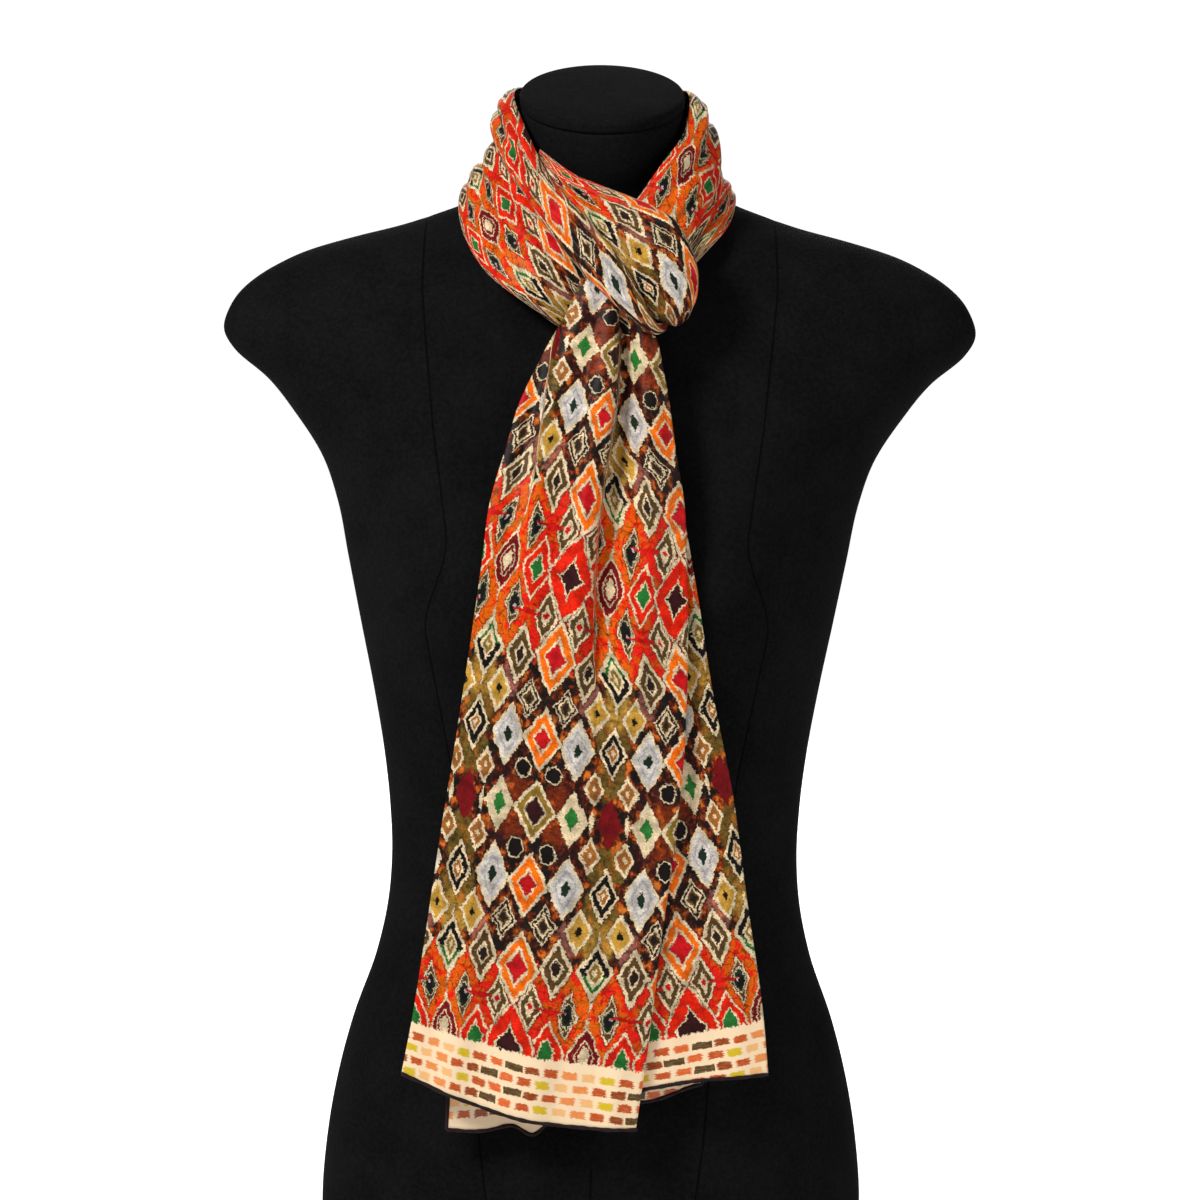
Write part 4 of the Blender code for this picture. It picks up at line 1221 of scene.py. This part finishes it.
def print_group(settings):
    """The ikat print as a group of nodes: it takes the cloth's coordinates and gives a colour."""
    group = bpy.data.node_groups.new("ikat lozenge print", "ShaderNodeTree")
    group.interface.new_socket(name="Cloth", in_out="INPUT", socket_type="NodeSocketVector")
    group.interface.new_socket(name="Colour", in_out="OUTPUT", socket_type="NodeSocketColor")
    shader = Shader(group)
    source = shader.node("NodeGroupInput").outputs[0]
    colours = {name: linear(value) for name, value in PALETTE.items()}
    for name in ("cream", "scarlet", "orange", "green", "ochre", "mahogany"):
        colours[name] = tuple(getattr(settings, name))
    width, height = settings.column / MM, settings.row / MM
    cloth = shader.vector("SCALE", source, scale=1 / MM)
    moved = {}
    for name, reach in FEATHERS.items():
        _, cloud = shader.noise(cloth, name)
        away = shader.vector("SUBTRACT", cloud, (0.5, 0.5, 0.5))
        moved[name] = shader.vector("SCALE", away, scale=reach * (settings.feather / MM))
    brushed = shader.vector("ADD", shader.vector("ADD", cloth, moved["stray"]), moved["drift"])
    across, along = shader.split(brushed)
    raised = shader.math("SUBTRACT", along, settings.first_row / MM)
    x = shader.math("PINGPONG", across, width)
    y = shader.math("PINGPONG", shader.math("MAXIMUM", raised, 0.0), height)
    place = shader.join(x, y)

    wash, _ = shader.noise(cloth, "wash")
    redness = shader.math("MULTIPLY_ADD", wash, *SHIFTS["red"])
    redness = shader.math("MULTIPLY_ADD", x, RED_ACROSS / width, redness)
    red, _ = shader.ramp(redness, named_stops(RED_STOPS, colours), "LINEAR")
    dark_wash, _ = shader.noise(shader.vector("MULTIPLY", cloth, DARK_STRETCH), "dark")
    darkness = shader.step(dark_wash, *STEPS["dark wash"])
    dark, _ = shader.ramp(darkness, named_stops(DARK_STOPS, colours), "LINEAR")
    fine_wash, _ = shader.noise(cloth, "fine")
    marbling, _ = shader.noise(cloth, "marbling")
    vein = shader.math("ABSOLUTE", shader.math("SUBTRACT", marbling, 0.5))
    red = shader.mix(shader.step(vein, *STEPS["vein"]), red, opaque(colours["vein"]))
    leg = shader.math("PINGPONG", x, width / 4)
    edge = shader.math("MULTIPLY_ADD", leg, BAND_RISE / (width / 4), BAND_EDGE)
    past = shader.math("SUBTRACT", y, edge)
    past = shader.math("ADD", past, shader.math("MULTIPLY_ADD", wash, *SHIFTS["band"]))
    paint = shader.mix(shader.step(past, *STEPS["dark band"]), red, dark)
    for row in PATCHES:
        row = dict(zip(PATCH_COLUMNS, row))
        paint = patch(shader, place, row, past, dark_wash, fine_wash, colours, paint)
    for row in CHART:
        paint = motif(shader, place, dict(zip(CHART_COLUMNS, row)), colours, paint)

    stray, _ = shader.split(moved["stray"])
    even = shader.vector("ADD", cloth, shader.vector("SCALE", moved["drift"], scale=BORDER_DRIFT))
    border = border_colour(shader, *shader.split(even), stray, colours, 2 * width)
    drawn = shader.join(across, shader.math("MULTIPLY", along, BRINK_STRETCH))
    ends, _ = shader.noise(drawn, "brink")
    brink = shader.math("ADD", along, shader.math("MULTIPLY_ADD", ends, *SHIFTS["brink"]))
    grain, _ = shader.noise(cloth, "grain")
    washed = shader.step(wash, *STEPS["wash shade"])
    shade = shader.math("MULTIPLY", washed, shader.step(grain, *STEPS["grain shade"]))
    paint = shader.mix(1.0, paint, shader.grey(shade), "MULTIPLY")
    paint = shader.mix(shader.step(brink, *STEPS["border"]), border, paint)
    shader.put(shader.node("NodeGroupOutput").inputs[0], paint)
    return group


def new_material(name, finish):
    """A material with one of the finishes, the way to add nodes to it, and its shader."""
    material = bpy.data.materials.new(name)
    material.use_nodes = True
    surface = material.node_tree.nodes["Principled BSDF"]
    set_inputs(surface, FINISHES[finish])
    return material, Shader(material.node_tree), surface


def silk_material(settings, name, fade):
    """Printed silk twill. fade is how far the print is washed out toward grey, as on the wrong
    side, and is partly painted shade.
    """
    found = bpy.data.materials.get(name)
    if found:
        return found
    material, shader, surface = new_material(name, "silk")
    cloth = shader.node("ShaderNodeUVMap", uv_map="cloth").outputs[0]
    group = bpy.data.node_groups.get("ikat lozenge print") or print_group(settings)
    printed = shader.node("ShaderNodeGroup", node_tree=group)
    shader.put(printed.inputs[0], cloth)
    colour = printed.outputs[0]
    # Painted shade, together with the paler wrong side: the print washed toward grey.
    if fade:
        colour = shader.mix(fade, colour, WASHED_OUT_AND_SHADED)
    shader.put(surface.inputs["Base Color"], colour)
    crepe, _ = shader.noise(cloth, "crepe")
    dullness = [settings.roughness + change for change in CREPE_ROUGHNESS]
    shader.put(surface.inputs["Roughness"], shader.step(crepe, *CREPE_STEP, *dullness))
    weave = shader.bump(shader.wave(cloth, "DIAGONAL", TWILL), "weave")
    ripple, _ = shader.noise(cloth, "ripple")
    shader.put(surface.inputs["Normal"], shader.bump(ripple, "creases", weave))
    return material


def hem_material(settings):
    """The rolled hem: dark printed edge with the stitches that hold the roll."""
    found = bpy.data.materials.get("rolled hem")
    if found:
        return found
    material, shader, surface = new_material("rolled hem", "hem")
    cloth = shader.node("ShaderNodeUVMap", uv_map="cloth").outputs[0]
    mottle, _ = shader.noise(cloth, "hem")
    light = opaque([min(1.0, value * HEM_LIGHTER + HEM_LIFT) for value in settings.hem])
    colour = shader.mix(shader.step(mottle, *STEPS["hem mottle"]), opaque(settings.hem), light)
    shader.put(surface.inputs["Base Color"], colour)
    stitches = shader.wave(cloth, "X", STITCHES)
    shader.put(surface.inputs["Normal"], shader.bump(stitches, "hem"))
    return material


def jersey_material(settings, name, seams):
    """Fine black jersey stretched over the form. Its seams are read from the piece's own fields."""
    material, shader, surface = new_material(name, "jersey")
    place = shader.node("ShaderNodeTexCoord").outputs["Object"]
    mottle, _ = shader.noise(place, "jersey")
    cloud, _ = shader.noise(place, "cloud")
    low, high = (opaque([value * tone for value in settings.jersey]) for tone in JERSEY_TONES)
    colour = shader.mix(shader.step(mottle, *STEPS["jersey mottle"]), low, high)
    broad = shader.mix(shader.step(cloud, *STEPS["jersey cloud"]), low, high)
    colour = shader.mix(CLOUD_SHARE, colour, broad)
    knit = shader.node("ShaderNodeTexVoronoi", feature="F1")
    shader.put(knit.inputs["Vector"], shader.vector("MULTIPLY", place, KNIT_STRETCH))
    set_inputs(knit, {"Scale": KNIT_SCALE})
    height = shader.math("MULTIPLY_ADD", knit.outputs["Distance"], KNIT_HEIGHT, mottle)
    if seams:
        nearest = None
        for field in ("long_seam", "side_seam", "centre_seam"):
            away = shader.node("ShaderNodeAttribute", attribute_name=field).outputs["Fac"]
            near = shader.math("ABSOLUTE", away)
            nearest = near if nearest is None else shader.math("MINIMUM", nearest, near)
        line = shader.step(nearest, *STEPS["seam"])
        colour = shader.mix(shader.math("MULTIPLY", line, SEAM_STRENGTH), colour, SEAM_COLOUR)
        height = shader.math("MULTIPLY_ADD", line, SEAM_SINK, height)
    shader.put(surface.inputs["Base Color"], colour)
    shader.put(surface.inputs["Normal"], shader.bump(height, "jersey"))
    return material


def add_field(mesh, name, values):
    """Gives each point of a mesh a value that a material can read."""
    field = mesh.attributes.new(name, "FLOAT", "POINT")
    field.data.foreach_set("value", values.astype(np.float32))


def make_torso(settings):
    """The jersey-covered body: the rings of a sphere moved to level sections of the form."""
    heights = column(TORSO, TORSO_COLUMNS, "height")
    rows = np.linspace(0, len(heights) - 1, FORM_LEVELS)
    levels = np.interp(rows, np.arange(len(heights)), heights)
    shape = bmesh.new()
    bmesh.ops.create_uvsphere(shape, u_segments=FORM_AROUND, v_segments=FORM_LEVELS + 1, radius=1)
    mesh = mesh_of(shape, bpy.data.meshes.new("form_shell"))
    ball = points_of(mesh)
    from_top = np.arccos(np.clip(ball[:, 2], -1, 1))
    ring = FORM_LEVELS - np.round(from_top / math.pi * (FORM_LEVELS + 1))
    height = levels[np.clip(ring, 0, FORM_LEVELS - 1).astype(int)]
    x, y, z = torso_point(height, np.arctan2(ball[:, 1], ball[:, 0]))
    quarters = np.arange(4) * math.pi / 2
    for pole, level in ((ring < 0, heights[0]), (ring >= FORM_LEVELS, heights[-1])):
        centre = np.mean([torso_point(level, turn) for turn in quarters], axis=0)
        x, y, z = (np.where(pole, value, axis) for value, axis in zip(centre, (x, y, z)))
    middle, half = (
        smooth_through(heights, column(TORSO, TORSO_COLUMNS, name), height)
        for name in ("middle", "half")
    )
    seam = np.interp(height, *(column(LONG_SEAM, SEAM_COLUMNS, name) for name in SEAM_COLUMNS))
    above = ramp(height, SEAM_TOP, SEAM_TOP + SEAM_FADE) * LONG_SEAM_AWAY
    hidden = (y < 0) & (height > CENTRE_SEAM_TOP)
    fields = {
        "long_seam": np.abs(x) - seam + above,
        "side_seam": y - middle,
        "centre_seam": np.where(hidden, np.abs(x) + CENTRE_SEAM_AWAY, x),
    }
    inward = 0
    for field in fields.values():
        inward = inward + trough(field, SEAM_WIDTH, SEAM_DEPTH)
    inward = inward * (ring > 0) * (ring < FORM_LEVELS - 1)
    out = unit(np.column_stack([x / half**2, (y - middle) / SEAM_REACH**2]))
    places = np.column_stack([x - out[:, 0] * inward, y - out[:, 1] * inward, z])
    mesh.vertices.foreach_set("co", (places * MM).ravel())
    for name, values in fields.items():
        add_field(mesh, name, values)
    shape = shape_of(mesh)
    bmesh.ops.recalc_face_normals(shape, faces=shape.faces)
    mesh_of(shape, mesh)
    item = new_mesh_object("form_shell", mesh, jersey_material(settings, "black jersey", True))
    return piece(item, "black_jersey", "form_torso")


def make_cap(settings):
    """The covered disc that closes the neck: a rounded rim and a lightly padded top."""
    top = dict(zip(TORSO_COLUMNS, TORSO[-1]))
    half = (top["half"] + CAP_OVERHANG) * MM
    reach = ((top["front"] + top["back"]) / 2 + CAP_OVERHANG) * MM
    lean = math.radians(top["tilt"])
    shape = bmesh.new()
    bmesh.ops.create_cone(
        shape, cap_ends=True, segments=CAP_AROUND, radius1=1, radius2=1,
        depth=settings.cap_thickness,
    )
    for vertex in shape.verts:
        vertex.co.x *= half
        vertex.co.y *= reach / math.cos(lean)
        vertex.co.z += settings.cap_thickness / 2 + CAP_GAP
    rims = [
        edge for edge in shape.edges
        if abs(edge.verts[0].co.z - edge.verts[1].co.z) < SAME_POINT
    ]
    bmesh.ops.bevel(
        shape, geom=rims, offset=settings.cap_round, offset_type="OFFSET", affect="EDGES",
        segments=CAP_RIM_STEPS, profile=0.5, material=-1,
    )
    face = max(shape.faces, key=lambda one: one.calc_center_median().z)
    for depth, rise in CAP_PADDING:
        bmesh.ops.inset_region(shape, faces=[face], thickness=depth, depth=0)
        for vertex in face.verts:
            vertex.co.z += settings.cap_crown * rise
    bmesh.ops.poke(shape, faces=[face])
    bmesh.ops.recalc_face_normals(shape, faces=shape.faces)
    place = Matrix.Translation((0, 0, top["height"] * MM)) @ Matrix.Rotation(lean, 4, "X")
    bmesh.ops.transform(shape, matrix=place, verts=shape.verts)
    mesh = mesh_of(shape, bpy.data.meshes.new("form_cap"))
    item = new_mesh_object("form_cap", mesh, jersey_material(settings, "black cap", False))
    return piece(item, "black_cap", "form_neck_cap")


def make_roll(name, rows, folds, anchors, grid, slot, nodes):
    """One roll of cloth round the neck, as a gathered sheet."""
    scarf = bpy.context.scene.ikat_scarf
    length = roll_stations(rows)[0][-1]
    field = thin_plate(anchors)

    def point_at(share, over):
        across = 1 - over
        places = roll_point(rows, folds, share, across)
        cloth = field(np.column_stack([share * length, across * ROLL_PRINT_WIDTH]))
        row = cloth[:, 1] + (ROLL_ROW_SHIFT * scarf.row + scarf.first_row) / MM
        return places, np.column_stack([cloth[:, 0] * scarf.column / MM, row])

    item = bent_grid(name, point_at, *grid, silk_material(scarf, "printed silk", 0))
    wall(item, scarf.thickness)
    piece(item, slot, *nodes)


def end_surface(end, down, across):
    """A point of a hanging end with its pleats, its flat x, and how far its edge has turned."""
    places, flat_x, run = tail_point(
        end["rows"], end["folds"], end["sag"], end["waves"], end["turned"], down, across
    )
    places[:, 1] += pleat_depth(end["pleats"], flat_x, places[:, 2])
    return places, flat_x, run


def make_hem(name, end, side, slot):
    """The rolled hem along one side of a hanging end: bottom, left or right."""
    scarf = bpy.context.scene.ikat_scarf
    radius = scarf.hem_radius / MM

    def edge(share, inside=0.0):
        along = np.clip(share, 0, 1)
        across = np.full_like(along, inside if side == "left" else 1 - inside)
        if side == "bottom":
            along, across = across, along
        return end_surface(end, along, across)[0]

    def point_at(share, turn):
        middle = edge(share)
        run = unit(edge(share + HEM_STEP) - edge(share - HEM_STEP))
        out = unit(np.cross(run, middle - edge(share, HEM_STEP)))
        away = np.cross(out, run)
        angle = (turn * 2 * math.pi)[:, None]
        uneven = 1
        for swell, pace, start in HEM_SWELLS:
            uneven = uneven + swell * np.sin(share * pace + start)
        tube = middle + (out * np.cos(angle) + away * np.sin(angle)) * (radius * uneven)[:, None]
        cloth = np.column_stack([share * end["cut"][0] / MM, turn * 2 * math.pi * radius])
        return tube, cloth

    hem = bent_grid(name, point_at, HEM_ALONG, HEM_AROUND, hem_material(scarf), closed=True)
    return piece(hem, slot)


def make_end(name, end, grid, material, slot, node, hems):
    """One hanging end with its rolled hems. hems gives each hem's name and side."""
    scarf = bpy.context.scene.ikat_scarf
    field = end_print(end["anchors"], end["pleats"])

    def point_at(down, over):
        places, flat_x, run = end_surface(end, down, over)
        return places, field(flat_x, places[:, 2], run, scarf.column / MM)

    item = bent_grid(name, point_at, *grid, material)
    wall(item, scarf.thickness)
    piece(item, slot, node)
    made = [make_hem(hem, end, side, slot) for hem, side in hems]


class IKATSCARF_OT_make_form(bpy.types.Operator):
    """Builds the jersey-covered dress form and its neck cap"""

    bl_idname = "ikatscarf.make_form"
    bl_label = "Dress form"

    def execute(self, context):
        settings = context.scene.dress_form
        make_torso(settings)
        make_cap(settings)
        return {"FINISHED"}


class IKATSCARF_OT_make_rolls(bpy.types.Operator):
    """Builds the rolls of silk round the neck"""

    bl_idname = "ikatscarf.make_rolls"
    bl_label = "Rolls round the neck"

    def execute(self, context):
        make_roll(
            "silk_upper_roll", UPPER_ROLL, UPPER_FOLDS, UPPER_PRINT, (UPPER_ALONG, UPPER_ACROSS),
            "printed_silk", ("scarf_wrap_right_top", "scarf_wrap_back_top", "scarf_loop_over"),
        )
        make_roll(
            "silk_lower_roll", lower_roll_rows(), LOWER_FOLDS, LOWER_PRINT,
            (LOWER_ALONG, LOWER_ACROSS), "printed_silk",
            ("scarf_wrap_right_low", "scarf_wrap_back_low", "scarf_wrap_left"),
        )
        make_roll(
            "silk_cross_roll", CROSS_ROLL, CROSS_FOLDS, CROSS_PRINT, (CROSS_ALONG, CROSS_ACROSS),
            "printed_silk", ("scarf_loop_right",),
        )
        return {"FINISHED"}


class IKATSCARF_OT_make_ends(bpy.types.Operator):
    """Builds the hanging ends of the scarf and their rolled hems"""

    bl_idname = "ikatscarf.make_ends"
    bl_label = "Hanging ends"

    def execute(self, context):
        scarf = context.scene.ikat_scarf
        face = silk_material(scarf, "printed silk", 0)
        # The back end's copy of the silk, washed toward grey: partly the paler wrong side, partly
        # painted shade.
        shaded_reverse = silk_material(scarf, "printed silk reverse", REVERSE_AND_SHADE_FADE)
        make_end(
            "silk_front_end", FRONT_END, (FRONT_DOWN, FRONT_ACROSS), face, "printed_silk",
            "scarf_tail_front", (("silk_front_hem", "bottom"),),
        )
        make_end(
            "silk_right_end", RIGHT_END, (RIGHT_DOWN, RIGHT_ACROSS), face, "printed_silk_light",
            "scarf_tail_right", (("silk_right_hem", "bottom"),),
        )
        make_end(
            "silk_back_end", BACK_END, (BACK_DOWN, BACK_ACROSS), shaded_reverse, "printed_silk",
            "scarf_tail_back",
            (
                ("silk_back_hem", "bottom"), ("silk_back_left_hem", "left"),
                ("silk_back_right_hem", "right"),
            ),
        )
        return {"FINISHED"}


class IKATSCARF_OT_make_stage(bpy.types.Operator):
    """Sets up the pale floor, the soft lights and the camera"""

    bl_idname = "ikatscarf.make_stage"
    bl_label = "Stage"

    def execute(self, context):
        stage = context.scene.scarf_stage
        make_floor(stage)
        make_room()
        make_lights(stage)
        make_camera(stage)
        return {"FINISHED"}


def make_floor(stage):
    """A wide pale floor that runs out of sight."""
    shape = bmesh.new()
    bmesh.ops.create_circle(shape, cap_ends=True, segments=FLOOR_AROUND, radius=FLOOR_RADIUS)
    mesh = mesh_of(shape, bpy.data.meshes.new("floor"))
    material, shader, surface = new_material("pale floor", "floor")
    tone, _ = shader.noise(shader.node("ShaderNodeTexCoord").outputs["Object"], "floor")
    pale = opaque(stage.floor)
    shaded = opaque([FLOOR_SHADE * value for value in pale])
    colour = shader.mix(shader.step(tone, *STEPS["floor tone"]), shaded, pale)
    shader.put(surface.inputs["Base Color"], colour)
    seen = shader.node("ShaderNodeLightPath").outputs["Is Camera Ray"]
    glow = shader.math("MULTIPLY_ADD", seen, FLOOR_SEEN, FLOOR_GLOW)
    shader.put(surface.inputs["Emission Strength"], glow)
    new_mesh_object("floor", mesh, material)


def looking(place, way):
    """Where a light or a camera stands that looks this way from this place."""
    return Matrix.Translation(place) @ way.to_track_quat("-Z", "Y").to_matrix().to_4x4()


def make_room():
    """A white room: bright to the camera, and with little light of its own."""
    world = bpy.data.worlds.new("white room")
    bpy.context.scene.world = world
    world.use_nodes = True
    shader = Shader(world.node_tree)
    seen = world.node_tree.nodes["Background"]
    lit = shader.node("ShaderNodeBackground")
    for room, strength in ((seen, ROOM_SEEN), (lit, ROOM_LIT)):
        set_inputs(room, {"Color": (1, 1, 1, 1), "Strength": strength})
    blend = shader.node("ShaderNodeMixShader")
    shader.put(blend.inputs[0], shader.node("ShaderNodeLightPath").outputs["Is Camera Ray"])
    shader.put(blend.inputs[1], lit.outputs[0])
    shader.put(blend.inputs[2], seen.outputs[0])
    shader.put(world.node_tree.nodes["World Output"].inputs["Surface"], blend.outputs[0])


def make_lights(stage):
    """A key from the upper left, a soft fill from the right, and weaker light from elsewhere."""
    powers = {
        "key": stage.key, "fill": stage.fill, "top": stage.fill * TOP_SHARE, "back": stage.back,
    }
    for name, (place, size) in LIGHTS.items():
        light = bpy.data.lights.new(name, "AREA")
        light.energy = powers[name]
        light.shape = "DISK"
        light.size = size
        lamp = bpy.data.objects.new(name, light)
        bpy.context.scene.collection.objects.link(lamp)
        lamp.matrix_world = looking(place, Vector(LIGHT_AIM) - Vector(place))


def make_camera(stage):
    """The camera at the photograph's viewing angle, rolled as the photograph is."""
    scene = bpy.context.scene
    lens = bpy.data.cameras.new("camera")
    lens.lens = stage.lens
    lens.sensor_width = SENSOR_WIDTH
    camera = bpy.data.objects.new("camera", lens)
    scene.collection.objects.link(camera)
    back = Vector((0, -math.cos(stage.elevation), math.sin(stage.elevation)))
    place = Vector(stage.target) + back * stage.distance
    camera.matrix_world = looking(place, -back) @ Matrix.Rotation(stage.roll, 4, "Z")
    scene.camera = camera
    scene.view_settings.view_transform = "Standard"


class IKATSCARF_PT_panel(bpy.types.Panel):
    """Lists the pieces and their sizes and colours"""

    bl_label = "Ikat scarf"
    bl_idname = "IKATSCARF_PT_panel"
    bl_space_type = "VIEW_3D"
    bl_region_type = "UI"
    bl_category = "Scarf"

    def draw(self, context):
        scene = context.scene
        for settings, operators in (
            (scene.dress_form, (IKATSCARF_OT_make_form,)),
            (scene.ikat_scarf, (IKATSCARF_OT_make_rolls, IKATSCARF_OT_make_ends)),
            (scene.scarf_stage, (IKATSCARF_OT_make_stage,)),
        ):
            box = self.layout.box()
            for name in settings.bl_rna.properties.keys():
                if name not in ("rna_type", "name"):
                    box.prop(settings, name)
            for operator in operators:
                box.operator(operator.bl_idname)


CLASSES = (
    ScarfSettings, FormSettings, StageSettings, IKATSCARF_OT_make_form, IKATSCARF_OT_make_rolls,
    IKATSCARF_OT_make_ends, IKATSCARF_OT_make_stage, IKATSCARF_PT_panel,
)


def register():
    """Adds the classes and the settings to Blender."""
    for one in CLASSES:
        bpy.utils.register_class(one)
    bpy.types.Scene.ikat_scarf = bpy.props.PointerProperty(type=ScarfSettings)
    bpy.types.Scene.dress_form = bpy.props.PointerProperty(type=FormSettings)
    bpy.types.Scene.scarf_stage = bpy.props.PointerProperty(type=StageSettings)


def unregister():
    """Takes the settings and the classes out again."""
    del bpy.types.Scene.scarf_stage
    del bpy.types.Scene.dress_form
    del bpy.types.Scene.ikat_scarf
    for one in reversed(CLASSES):
        bpy.utils.unregister_class(one)


def main():
    """Builds the scene."""
    register()
    bpy.ops.ikatscarf.make_form()
    bpy.ops.ikatscarf.make_rolls()
    bpy.ops.ikatscarf.make_ends()
    bpy.ops.ikatscarf.make_stage()


if __name__ == "__main__":
    main()
